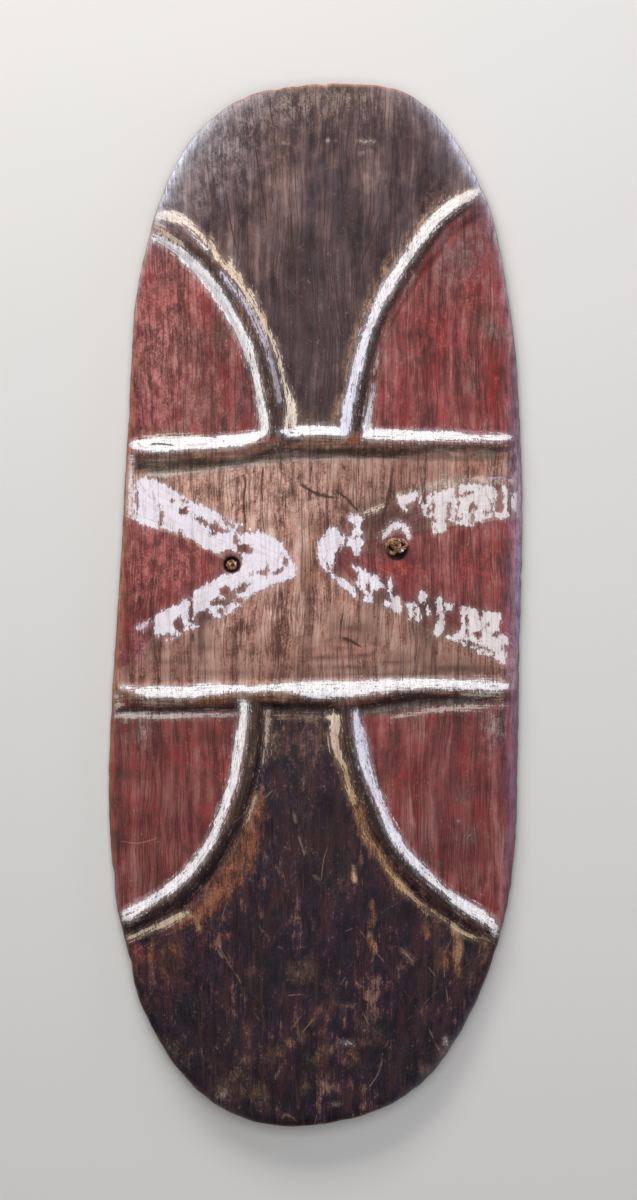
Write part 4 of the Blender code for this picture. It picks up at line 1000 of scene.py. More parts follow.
    def brush(self, points: Array) -> tuple[Array, Array]:
        """How far each place is along and across the nearest line that the brush followed."""
        lines = [*self.lines.values(), *(placed(arm) for arm in ARMS)]
        along, across = np.zeros(len(points)), np.full(len(points), 9.0)
        for i, line in enumerate(lines):
            offset, share = off_line(points, line)
            length = np.linalg.norm(np.diff(line, axis=0), axis=1).sum()
            closer = np.abs(offset) < np.abs(across)
            along[closer] = (share * length + 0.7 * i)[closer]
            across[closer] = offset[closer]
        return along, across

    def scratches(self, points: Array, marks: Sequence[Stroke]) -> tuple[Array, Array]:
        """Finds where places lie in the scratches.

        Args:
            points: Places on the face.
            marks: The scratches.

        Returns:
            The signed distance from the nearest scratch as a share of its width, and how much of it
            shows, which fades towards its ends.
        """
        nearest, shown = np.full(len(points), 9.0), np.zeros(len(points))
        for mark in marks:
            here = self.near(mark, points)
            depth, share = mark.depth(points[here])
            line = placed(smooth_path(mark.stations, 3.0))
            offset = off_line(points[here], line)[0]
            reading = offset / (2 * (depth + np.abs(offset)))
            closer = np.abs(reading) < np.abs(nearest[here])
            nearest[here[closer]] = reading[closer]
            length = np.linalg.norm(np.diff(line, axis=0), axis=1).sum()
            ends = ramp(np.minimum(share, 1 - share) * length, 0.0005, 0.0060)
            amount = ends * (1 - ramp(np.abs(offset), 0.0035, 0.0065))
            shown[here] = np.maximum(shown[here], amount)
        return nearest, shown


@dataclass
class CarvedBoard:
    """The carved board as one fine mesh, with the fields that its paint reads. The grids' sizes
    are the distance between points across and along the grain, and how far they keep from the
    outline and from a hole's mouth."""

    shape: BoardShape
    holes: tuple[Hole, ...]
    outline_step: float = 0.0030
    bore_sides: int = 40
    flute_pitch: float = 0.0118
    flute_depth: float = 0.00032
    dent_depth: float = 0.00055
    small_dent_depth: float = 0.00020
    hammered_depth: float = 0.00085
    hammered_place: Place = (200, 165)
    hammered_reach: float = 0.075
    groove_depth: float = 0.0010
    gouge_depth: float = 0.0007
    front_rings: tuple[float, ...] = (0.0005, 0.0015, 0.0030, 0.0050, 0.0075, 0.0100, 0.0126)
    back_rings: tuple[float, ...] = (0.0010, 0.0020, 0.0032)
    mouth_shares: tuple[float, ...] = (0.25, 0.5, 0.75, 0.93, 1.07)
    mouth_clear: float = 0.0022
    wall_shares: tuple[float, ...] = (0.25, 0.5, 0.75)
    front_grid: tuple[float, ...] = (0.00245, 0.0030, 0.0148, 0.0036)
    back_grid: tuple[float, ...] = (0.0075, 0.0090, 0.0070, 0.0030)

    def __post_init__(self) -> None:
        """Draws the board's lines."""
        self.coarse = self.shape.loop(0.012)
        self.fine = self.shape.loop(0.006)
        self.lines = {
            name: smooth_path(self.shape.to_size(rib.path), 0.008) for name, rib in RIBS.items()
        }

    def ribs_at(self, points: Array) -> tuple[Array, Array]:
        """Finds the ribs' height, and the groove at their feet.

        Args:
            points: Places on the face.

        Returns:
            The height as a share of a whole rib, and the groove's depth as a share.
        """
        height, groove = np.zeros(len(points)), np.zeros(len(points))
        uneven = 1 + 0.07 * Ripple(0.05, 0.05, seed=21).at(points)
        for name, rib in RIBS.items():
            offset, share = off_line(points, self.lines[name])
            left, right = (side[0] + (side[1] - side[0]) * share for side in (rib.left, rib.right))
            reach = np.where(offset >= 0, left, right) * uneven
            away = np.where(share == rib.joined, 9.0, np.abs(offset) / reach)
            height = np.maximum(height, (1 - np.clip(away, 0, 1) ** 2) ** 0.8)
            groove = np.maximum(groove, np.exp(-(((away - 1.03) / 0.16) ** 2)))
        return height, groove * np.clip(1 - height / 0.25, 0, 1)

    def flute(self, points: Array) -> Array:
        """Long shallow flutes that follow the grain, about -1 to 1."""
        drift = 0.008 * Ripple(0.40, 0.60, seed=11).at(points)
        drift += 0.0016 * Ripple(0.09, 0.16, seed=14).at(points)
        drift += 0.0007 * Ripple(0.03, 0.05, seed=15).at(points)
        wave = np.sin(2 * math.pi * (points[:, 0] + drift) / self.flute_pitch)
        strength = 0.75 + 0.45 * Ripple(0.12, 0.25, seed=16).at(points)
        broad = Ripple(0.030, 0.45, seed=13).at(points)
        return 0.75 * np.clip(strength, 0.2, 1.2) * wave + 0.45 * broad

    def carved(self, points: Array, inset: Array) -> Array:
        """Finds the height of the carved face.

        Args:
            points: Places on the face.
            inset: How far each is from the outline.

        Returns:
            The height of each place.
        """
        shape = self.shape
        rib, groove = self.ribs_at(points)
        rise = shape.rib_height * rib * (0.92 + 0.06 * Ripple(0.04, 0.04, seed=22).at(points))
        fade = np.clip(inset / shape.rib_fade, 0, 1)
        edge = 1 - np.clip(inset / shape.edge_round, 0, 1)
        drop = shape.edge_drop * (1 - np.sqrt(1 - edge**2))
        flutes = self.flute_depth * self.flute(points) * (1 - 0.75 * ramp(rib, 0.2, 0.9))
        dents = self.dent_depth * Ripple(0.050, 0.060, seed=23).at(points)
        dents += self.small_dent_depth * Ripple(0.014, 0.022, seed=24).at(points)
        off = (points - placed([self.hammered_place])) / self.hammered_reach
        hammered = self.hammered_depth * np.exp(-(off**2).sum(axis=1))
        dents += hammered * Ripple(0.014, 0.020, seed=25).at(points)
        dents *= 1 - 0.8 * ramp(rib, 0.1, 0.6)
        rise = (rise - self.groove_depth * groove) * fade
        height = shape.face(points) + rise - drop + flutes + dents
        for hole in self.holes:
            height -= hole.sink(points)
        return height

    def inset_loop(self, loop: Array, inset: Array | float) -> Array:
        """Draws the outline in by an inset."""
        run = np.roll(loop, -2, axis=0) - np.roll(loop, 2, axis=0)
        inward = np.stack([-run[:, 1], run[:, 0]], axis=1)
        inward /= np.linalg.norm(inward, axis=1, keepdims=True)
        return loop + np.reshape(inset, (-1, 1)) * inward

    def chipped(self, loop: Array) -> Array:
        """The outline with its small nicks and hand-cut unevenness, never outside the plain one."""
        depth = 0.0004 * (1 + Ripple(0.03, 0.03, seed=31).at(loop))
        for column, row, wide, deep in NICKS:
            off = loop - placed([(column, row)])
            depth += deep * GRID * np.exp(-((off**2).sum(axis=1) / (wide * GRID) ** 2))
        return self.inset_loop(loop, depth)

    def grid(self, across: float, along: float, inset: float, clear: float) -> Array:
        """Spreads staggered points over the board, away from its edge and its holes.

        Args:
            across: Distance between them across the grain.
            along: Distance between rows along the grain.
            inset: How far they keep from the outline.
            clear: How far they keep from a hole's mouth.

        Returns:
            The points.
        """
        draw = np.random.default_rng(SEED)
        rows = np.arange(-self.shape.length / 2, self.shape.length / 2, along)
        columns = np.arange(-self.shape.width / 2, self.shape.width / 2, across)
        x, y = np.meshgrid(columns, rows)
        x = x + across / 2 * (np.arange(len(rows)) % 2)[:, None]
        points = np.stack([x.ravel(), y.ravel()], axis=1)
        points += draw.uniform(-0.06, 0.06, points.shape) * (across, along)
        keep = depth_in(points, self.coarse) > inset
        for hole in self.holes:
            keep &= hole.off(points) > hole.mouth / 2 + clear
        return points[keep]

    def surface(self, loops: Sequence[Array], more: Sequence[Array]) -> tuple[Array, Array]:
        """Lays triangles over one side of the board.

        Args:
            loops: The outline and then the holes' edges, which bound the surface.
            more: Other points inside it.

        Returns:
            The points, the loops' first, and the triangles.
        """
        points = np.concatenate([*loops, *more])
        edges, first = [], 0
        for loop in loops:
            count = len(loop)
            edges += [(first + i, first + (i + 1) % count) for i in range(count)]
            first += count
        made = delaunay_2d_cdt([Vector(p) for p in points], edges, [], 1, 1e-7)
        assert len(made[0]) == len(points), "two points of the board are in one place"
        faces = np.array([tuple(face) for face in made[2]])
        middles = points[faces].mean(axis=1)
        keep = np.ones(len(faces), bool)
        for hole in self.holes:
            keep &= hole.off(middles) > hole.bore * 0.97
        return points, faces[keep]

    def mouths(self) -> list[Array]:
        """Rings of points round the holes' mouths."""
        rings = []
        for hole in self.holes:
            span = hole.mouth / 2 - hole.bore
            radii = [hole.bore + span * share for share in self.mouth_shares]
            radii.append(hole.mouth / 2 + self.mouth_clear)
            rings += [hole.ring(radius, self.bore_sides) for radius in radii]
        return rings

    def under(self, back: Array, inset: Array) -> Array:
        """Finds the height of the hollow back, with wide shallow gouges.

        Args:
            back: Places on the back.
            inset: How far each is from the outline.

        Returns:
            The height of each place.
        """
        shape = self.shape
        gouges = self.gouge_depth * Ripple(0.022, 0.110, seed=41).at(back)
        gouges *= ramp(inset, 0.01, 0.03)
        hollow = shape.back(back)
        bevel = shape.back_bevel * (1 - np.clip(inset / shape.back_bevel, 0, 1)) ** 1.6
        return hollow + bevel + np.where(hollow > 0.0015, gouges, 0)

    def walls(self, top: Array, low: Array, sizes: Sequence[int]) -> tuple[list, list]:
        """Joins the face and the back round the board's edge and through the bores.

        Args:
            top: The face's points, the outline's and then the bores' edges first.
            low: The back's points in the same order.
            sizes: How many points the outline and each bore's edge have.

        Returns:
            New points, and triangles that count from the face's first point.
        """
        points, faces, total, start = [], [], len(top) + len(low), 0
        for size in sizes:
            around = np.arange(start, start + size)
            rings = [around]
            for share in self.wall_shares:
                points.append(top[around] + (low[around] - top[around]) * share)
                rings.append(total + np.arange(size))
                total += size
            rings.append(around + len(top))
            for above, below in zip(rings, rings[1:]):
                nexts = np.roll(above, -1), np.roll(below, -1)
                quads = np.stack([above, below, nexts[1], nexts[0]], axis=1)
                if start:
                    quads = quads[:, ::-1]
                faces.append(np.concatenate([quads[:, [0, 1, 2]], quads[:, [0, 2, 3]]]))
            start += size
        return points, faces

    def build(self) -> bpy.types.Object:
        """Makes the board.

        Returns:
            Its object, with its fields stored on the points.
        """
        loop = self.chipped(self.shape.loop(self.outline_step))
        bores = [hole.ring(hole.bore, self.bore_sides) for hole in self.holes]
        front_more = [self.inset_loop(loop, inset) for inset in self.front_rings]
        front_more += [*self.mouths(), self.grid(*self.front_grid)]
        front, front_faces = self.surface([loop, *bores], front_more)
        back_more = [self.inset_loop(loop, inset) for inset in self.back_rings]
        back_more.append(self.grid(*self.back_grid))
        back, back_faces = self.surface([loop, *bores], back_more)

        edges = len(loop) + self.bore_sides * len(bores)
        inset = np.maximum(0, depth_in(front, self.fine))
        under_inset = np.maximum(0, depth_in(back, self.fine))
        inset[: len(loop)] = under_inset[: len(loop)] = 0
        for i, distance in enumerate(self.front_rings):
            first = edges + i * len(loop)
            inset[first : first + len(loop)] = distance
        top = np.column_stack([front, self.carved(front, inset)])
        low = np.column_stack([back, self.under(back, under_inset)])
        sizes = (len(loop), *(self.bore_sides for _ in bores))
        wall_points, wall_faces = self.walls(top, low, sizes)
        points = np.concatenate([top, low, *wall_points])
        faces = np.concatenate([front_faces, len(front) + back_faces[:, ::-1], *wall_faces])
        board = new_object("carved_board", points.tolist(), [], faces.tolist())
        board.data.validate()
        board.data.shade_smooth()
        self.store(board.data, front, inset, slice(len(loop), edges))
        return board

    def store(self, mesh: bpy.types.Mesh, front: Array, inset: Array, bores: slice) -> None:
        """Stores the fields that the paint reads.

        Args:
            mesh: The board's mesh, whose first points are the face's.
            front: Places of the face's points.
            inset: How far each is from the outline.
            bores: Which of them are the bores' edges.
        """
        plan = PaintPlan(self.lines)
        fields = plan.zones(front)
        fields["pale_zone"], pale = plan.crisp_coat(front, PALE_STROKES)
        for name, marks in (("scratch", SCRATCHES), ("pale_scratch", PALE_SCRATCHES)):
            fields[name], fields[name + "_shown"] = plan.scratches(front, marks)
        fields["brush_along"], fields["brush_across"] = plan.brush(front)
        fields["inset"] = inset
        fields["flute"] = self.flute(front)
        # Painted shade in the holes' mouths, darkest where the mouths sink deepest.
        sunk = [ramp(hole.sink(front), 0.0002, 0.0020) for hole in self.holes]
        fields["soot"] = np.max(sunk, axis=0)
        fields["bare"] = 1 - ramp(inset, -0.0002, 0.0012)
        fields["bare"][bores] = 0
        for name, value in fields.items():
            stored = np.full(len(mesh.vertices), ELSEWHERE.get(name, -1.0), np.float32)
            stored[: len(front)] = value
            mesh.attributes.new(name, "FLOAT", "POINT").data.foreach_set("value", stored)
        coats = {
            Layer.EARTH: plan.soft_coat(front, inset, (*STAINS, *EARTH_AND_SHADE_STROKES)),
            Layer.GLOW: plan.soft_coat(front, inset, RIM_HIGHLIGHTS),
            Layer.PALE: pale,
        }
        for layer, value in coats.items():
            stored = np.zeros((len(mesh.vertices), 4), np.float32)
            stored[: len(front)] = value
            made = mesh.attributes.new(layer.value, "FLOAT_COLOR", "POINT")
            made.data.foreach_set("color", stored.ravel())


Socket = bpy.types.NodeSocket
Value = float | bpy.types.NodeSocket


class Graph:
    """Places nodes in a tree and links them."""

    def __init__(self, tree: bpy.types.NodeTree) -> None:
        """Keeps the tree."""
        self.tree = tree

    def set(self, node: bpy.types.Node, inputs: dict) -> None:
        """Sets or links a node's inputs.

        Args:
            node: The node.
            inputs: Values or sockets, by the input's name or place.
        """
        for name, value in inputs.items():
            if isinstance(value, Socket):
                self.tree.links.new(value, node.inputs[name])
            else:
                node.inputs[name].default_value = value

    def add(self, kind: str, inputs: dict | None = None, **settings: object) -> bpy.types.Node:
        """Adds a node.

        Args:
            kind: Its type, without the word that all shader nodes begin with.
            inputs: Values or sockets for its inputs, by name or place.
            settings: Its other settings.

        Returns:
            The node.
        """
        whole = kind if kind.startswith(("Geometry", "Node")) else "ShaderNode" + kind
        node = self.tree.nodes.new(whole)
        for name, value in settings.items():
            setattr(node, name, value)
        self.set(node, inputs or {})
        return node

    def get(self, kind: str, inputs: dict | None = None, **settings: object) -> Socket:
        """Adds a node and gives back its first output."""
        return self.add(kind, inputs, **settings).outputs[0]

    def field(self, name: str, output: str = "Fac") -> Socket:
        """A value stored on the mesh."""
        return self.add("Attribute", attribute_name=name).outputs[output]

    def math(self, what: str, *values: Value, clamp: bool = False) -> Socket:
        """Arithmetic on one, two or three values."""
        return self.get("Math", dict(enumerate(values)), operation=what, use_clamp=clamp)

    def times(self, first: Value, second: Value, clamp: bool = False) -> Socket:
        """One value times another."""
        return self.math("MULTIPLY", first, second, clamp=clamp)

    def total(self, first: Value, *parts: tuple[Socket, Value]) -> Socket:
        """Adds to a value each of the others times its weight."""
        for value, weight in parts:
            first = self.math("MULTIPLY_ADD", value, weight, first)
        return first

    def highest(self, first: Value, *others: Value) -> Socket:
        """The highest of some values."""
        for value in others:
            first = self.math("MAXIMUM", first, value)
        return first

    def step(
        self, value: Value, low: Value, high: Value, first: Value = 0.0, last: Value = 1.0
    ) -> Socket:
        """Goes smoothly from first to last as a value goes from low to high."""
        names = {"Value": value, "From Min": low, "From Max": high, "To Min": first, "To Max": last}
        return self.get("MapRange", names, interpolation_type="SMOOTHSTEP")

    def thin(self, wave: Socket, width: Value) -> Socket:
        """Thin lines where a wave crosses zero."""
        return self.step(self.math("ABSOLUTE", wave), 0.0, width, 1.0, 0.0)

    def noise(self, where: Socket, scale: Value, detail: float = 3, rough: float = 0.5) -> Socket:
        """Cloudy noise with zero in its middle, about -0.3 to 0.3."""
        names = {"Vector": where, "Scale": scale, "Detail": detail, "Roughness": rough}
        return self.math("SUBTRACT", self.get("TexNoise", names), 0.5)

    def stretched(self, where: Socket, along: float, shift: float = 0) -> Socket:
        """Coordinates stretched along the grain, and shifted so that two noises differ."""
        names = {"Vector": where, "Location": (shift, shift / 2, 0), "Scale": (1, along, 1)}
        return self.get("Mapping", names)

    def colours(self, value: Socket, stops: Sequence[tuple[float, Tint]]) -> Socket:
        """Turns a value into colours.

        Args:
            value: The value.
            stops: Places from 0 to 1 and their colours, in order.

        Returns:
            The colour.
        """
        node = self.add("ValToRGB", {0: value})
        elements = node.color_ramp.elements
        for place, tint in stops[1:-1]:
            elements.new(place).color = linear(tint)
        for element, (place, tint) in ((elements[0], stops[0]), (elements[-1], stops[-1])):
            element.position, element.color = place, linear(tint)
        return node.outputs["Color"]

    def mix(self, share: Value, low: Socket | Tint, high: Socket | Tint) -> Socket:
        """Mixes two colours."""
        pair = (tint if isinstance(tint, Socket) else linear(tint) for tint in (low, high))
        inputs = dict(zip((0, 6, 7), (share, *pair)))
        return self.add("Mix", inputs, data_type="RGBA", clamp_factor=True).outputs[2]


def new_material(name: str) -> tuple[bpy.types.Material, Graph, bpy.types.Node]:
    """Makes a plain material.

    Args:
        name: Its name.

    Returns:
        The material, its graph and its shader.
    """
    material = bpy.data.materials.new(name)
    material.use_nodes = True
    return material, Graph(material.node_tree), material.node_tree.nodes["Principled BSDF"]


class Effects:
    """Node groups that a finish places more than once, or that another finish could use."""

    def __init__(self) -> None:
        """Builds every group once."""
        self.grain = self.make_grain()
        self.flaking = self.make_flaking()
        self.hairlines = self.make_hairlines()

    def start(
        self, name: str, inputs: dict[str, float | None], outputs: Sequence[str]
    ) -> tuple[Graph, dict[str, Socket], bpy.types.Node]:
        """Starts a group.

        Args:
            name: Its name.
            inputs: Each input's value, or None for a vector.
            outputs: The names of its outputs, all numbers.

        Returns:
            Its graph, its inputs by name, and the node that takes its outputs.
        """
        tree = bpy.data.node_groups.new(name, "ShaderNodeTree")
        for label, value in inputs.items():
            kind = "NodeSocketVector" if value is None else "NodeSocketFloat"
            socket = tree.interface.new_socket(name=label, in_out="INPUT", socket_type=kind)
            if value is not None:
                socket.default_value = value
        for label in outputs:
            tree.interface.new_socket(name=label, in_out="OUTPUT", socket_type="NodeSocketFloat")
        graph = Graph(tree)
        entry, leave = graph.add("NodeGroupInput"), graph.add("NodeGroupOutput")
        return graph, {label: entry.outputs[label] for label in inputs}, leave

    def make_grain(self) -> bpy.types.NodeTree:
        """Old weathered grain along Y: streaks, fibres, clouds, blotches, flecks and cracks."""
        outputs = ("Streak", "Fibre", "Cloud", "Blotch", "Fleck", "Furrow", "Accent", "Line")
        graph, inputs, leave = self.start("weathered_grain", {"Vector": None}, outputs)
        where = inputs["Vector"]
        parts = graph.add("SeparateXYZ", {0: where})
        drift = parts.outputs[0]
        for along, shift, scale, amount in (
            (0.6, 1.0, 9, 0.022), (0.5, 2.0, 34, 0.0075), (0.4, 3.0, 110, 0.0022),
        ):  # fmt: skip
            wave = graph.noise(graph.stretched(where, along, shift), scale, 2)
            drift = graph.total(drift, (wave, amount))
        bent = graph.get("CombineXYZ", {0: drift, 1: parts.outputs[1], 2: 0.0})
        noises = {
            "Streak": (bent, 0.055, 3.0, 130, 4, 0.6), "Fibre": (bent, 0.10, 5.0, 430, 3, 0.6),
            "Cloud": (where, 0.7, 4.0, 20, 5, 0.62), "Blotch": (where, 0.55, 6.0, 110, 4, 0.62),
            "Fleck": (where, 0.7, 7.0, 520, 3, 0.7), "Furrow": (bent, 0.08, 8.0, 62, 2, 0.5),
            "Accent": (bent, 0.30, 11.0, 42, 4, 0.65),
        }  # fmt: skip
        made = {
            name: graph.noise(graph.stretched(*way[:3]), *way[3:]) for name, way in noises.items()
        }
        made["Accent"] = graph.step(made["Accent"], -0.02, 0.16)
        cracks = ((230, 0.040), (48, 0.018), (110, 0.026))
        made["Line"] = graph.highest(*(self.lines_in(graph, bent, *crack) for crack in cracks))
        graph.set(leave, made)
        return graph.tree

    def lines_in(self, graph: Graph, where: Socket, scale: float, width: float) -> Socket:
        """Makes thin lines along the grain that come and go.

        Args:
            graph: The group's graph.
            where: The coordinates.
            scale: How close together the lines are.
            width: How wide each is, as a part of the noise's height.

        Returns:
            The lines' mask.
        """
        wave = graph.noise(graph.stretched(where, 0.030, scale / 10), scale, 1, 0.3)
        shown = graph.noise(graph.stretched(where, 0.25, scale / 7), 30, 3, 0.6)
        return graph.times(graph.thin(wave, width), graph.step(shown, -0.10, 0.06))

    def make_flaking(self) -> bpy.types.NodeTree:
        """Old paint that was brushed on dry, whose edges break up into flecks."""
        given = {"Vector": None, "Brush": None, "Depth": 0.0, "Cover": 1.0, "Edge": 0.0034,
                 "Fray": 0.01, "Streak": 1.5}  # fmt: skip
        graph, inputs, leave = self.start("flaking_paint", given, ("Mask", "Haze", "Brushed"))
        coarse = graph.noise(graph.stretched(inputs["Vector"], 0.55, 1.3), 190, 5, 0.74)
        fine = graph.noise(graph.stretched(inputs["Vector"], 0.30, 9.0), 520, 3, 0.7)
        streak = graph.noise(inputs["Brush"], 1.0, 3, 0.6)
        depth = graph.total(inputs["Depth"], (coarse, inputs["Fray"]))
        reach = graph.math("DIVIDE", depth, inputs["Edge"])
        crumbs = graph.step(reach, -1.5, 0.0, 0.0, 0.18)
        target = graph.total(crumbs, (graph.step(reach, -0.35, 0.65, 0.0, 0.8), inputs["Cover"]))
        limit = graph.total(0.5, (coarse, 0.8), (fine, 2.0), (streak, inputs["Streak"]))
        mask = graph.step(graph.math("SUBTRACT", target, limit), -0.10, 0.10)
        sway = graph.total(inputs["Depth"], (coarse, 0.016), (streak, 0.006))
        dry = graph.total(0.0, (streak, 1.0), (fine, 0.6), (coarse, 0.5))
        graph.set(leave, {
            "Mask": graph.times(mask, graph.step(reach, -1.5, -1.0)),
            "Haze": graph.times(graph.step(sway, -0.0065, 0.0012), inputs["Cover"]),
            "Brushed": graph.step(dry, -0.20, 0.03),
        })  # fmt: skip
        return graph.tree

    def make_hairlines(self) -> bpy.types.NodeTree:
        """Long thin scratches in three directions, broken by clouds."""
        given = {"Vector": None, "Scale": 7.0, "Width": 0.0035}
        graph, inputs, leave = self.start("hairlines", given, ("Mask",))
        masks = []
        for angle, shift in ((0.5, 1.0), (-0.35, 5.0), (1.2, 9.0)):
            turn = {"Vector": inputs["Vector"], "Angle": angle}
            turned = graph.get("VectorRotate", turn, rotation_type="Z_AXIS")
            wave = graph.noise(graph.stretched(turned, 0.25, shift), inputs["Scale"], 0, 0.4)
            broken = graph.noise(graph.stretched(inputs["Vector"], 1.0, shift + 3), 40, 3, 0.6)
            thin = graph.thin(wave, inputs["Width"])
            masks.append(graph.times(thin, graph.step(broken, 0.0, 0.12)))
        graph.set(leave, {"Mask": graph.highest(*masks)})
        return graph.tree


@dataclass(frozen=True)
class Ground:
    """The tints of one painted area from its darkest to its palest, and what moves them."""

    stops: tuple[tuple[float, Tint], ...]
    accent: Tint
    accented: float
    streak: float = 1.0
    cloud: float = 1.0
    blotch: float = 1.0
    fibre: float = 1.0
    fleck: float = 1.0
    furrow: float = 0.5
    flute: float = 0.05

    def build(self, graph: Graph, grain: bpy.types.Node, flute: Socket) -> Socket:
        """Makes the area's colour.

        Args:
            graph: The material's graph.
            grain: The grain group's node.
            flute: The flutes' height.

        Returns:
            The colour.
        """
        names = ("Streak", "Cloud", "Blotch", "Fibre", "Fleck", "Furrow")
        parts = [(grain.outputs[name], getattr(self, name.lower())) for name in names]
        colour = graph.colours(graph.total(0.5, (flute, self.flute), *parts), self.stops)
        accented = graph.times(grain.outputs["Accent"], self.accented)
        return graph.mix(accented, colour, self.accent)


@dataclass(frozen=True)
class PaintedWood:
    """The finish of the carved board: worn earth paints over old streaked wood."""

    band: Ground = Ground(
        ((0.0, (70, 46, 38)), (0.28, (118, 81, 68)), (0.48, (168, 125, 109)),
         (0.72, (188, 150, 135)), (1.0, (218, 190, 176))), (190, 126, 110), 0.35,
        streak=0.9, cloud=0.9, blotch=1.2, fibre=1.2, fleck=1.0, furrow=1.2,
    )  # fmt: skip
    red: Ground = Ground(
        ((0.0, (62, 30, 32)), (0.28, (98, 48, 48)), (0.50, (128, 64, 62)),
         (0.72, (150, 90, 86)), (1.0, (176, 130, 124))), (152, 46, 42), 0.55,
        streak=0.9, cloud=1.3, blotch=0.8, fibre=0.7, fleck=0.5, furrow=1.1,
    )  # fmt: skip
    upper: Ground = Ground(
        ((0.0, (34, 25, 28)), (0.28, (57, 43, 45)), (0.50, (79, 61, 61)),
         (0.72, (102, 80, 77)), (1.0, (140, 114, 109))), (84, 71, 77), 0.5,
        streak=0.5, cloud=2.0, blotch=0.7, fibre=0.2, fleck=0.15, furrow=1.6,
    )  # fmt: skip
    lower: Ground = Ground(
        ((0.0, (8, 4, 12)), (0.30, (15, 8, 21)), (0.53, (27, 13, 32)),
         (0.76, (50, 30, 41)), (1.0, (128, 94, 82))), (74, 39, 38), 0.45,
        streak=0.8, cloud=1.7, blotch=1.5, fibre=0.9, fleck=0.8, furrow=0.7,
    )  # fmt: skip
    bare: Ground = Ground(
        ((0.0, (52, 36, 28)), (0.35, (92, 66, 50)), (0.60, (126, 94, 73)), (1.0, (176, 142, 116))),
        (120, 86, 64), 0.3, streak=0.8, cloud=0.9, blotch=0.8, fibre=0.9, fleck=0.6, furrow=0.4,
    )  # fmt: skip
    chalk: Tint = (229, 221, 229)
    cream_chalk: Tint = (224, 214, 213)
    under_chalk: Tint = (112, 84, 78)
    worn_red: Tint = (96, 52, 50)
    deep_earth: Tint = (22, 15, 16)
    crumb: Tint = (164, 134, 116)
    scratch: Tint = (172, 142, 122)
    dark_scratch: Tint = (62, 38, 32)
    nick: Tint = (88, 56, 48)
    # The tint that darkens the flutes' hollows.
    speck: Tint = (206, 190, 182)
    flute_hollow_darkening: Tint = (38, 27, 27)
    # The tint of the painted shade in the holes' mouths.
    soot: Tint = (20, 13, 11)

    def build(self, effects: Effects) -> bpy.types.Material:
        """Makes the material.

        Args:
            effects: The shared node groups.

        Returns:
            The material.
        """
        material, graph, shader = new_material("painted_wood")
        coats = Coats(self, graph, effects)
        coats.lay_grounds()
        coats.lay_earth_and_shade()
        coats.lay_whites()
        coats.scratch()
        coats.wear()
        rough = graph.total(0.60, (coats.paint, 0.16), (coats.blotch, 0.5), (coats.fibre, 0.3))
        bump = {"Height": coats.relief(), "Strength": 0.9, "Distance": 1.0}
        graph.set(shader, {
            "Base Color": coats.colour, "Roughness": graph.math("MINIMUM", rough, 0.92),
            "Normal": graph.get("Bump", bump), "Specular IOR Level": 0.22,
        })  # fmt: skip
        return material


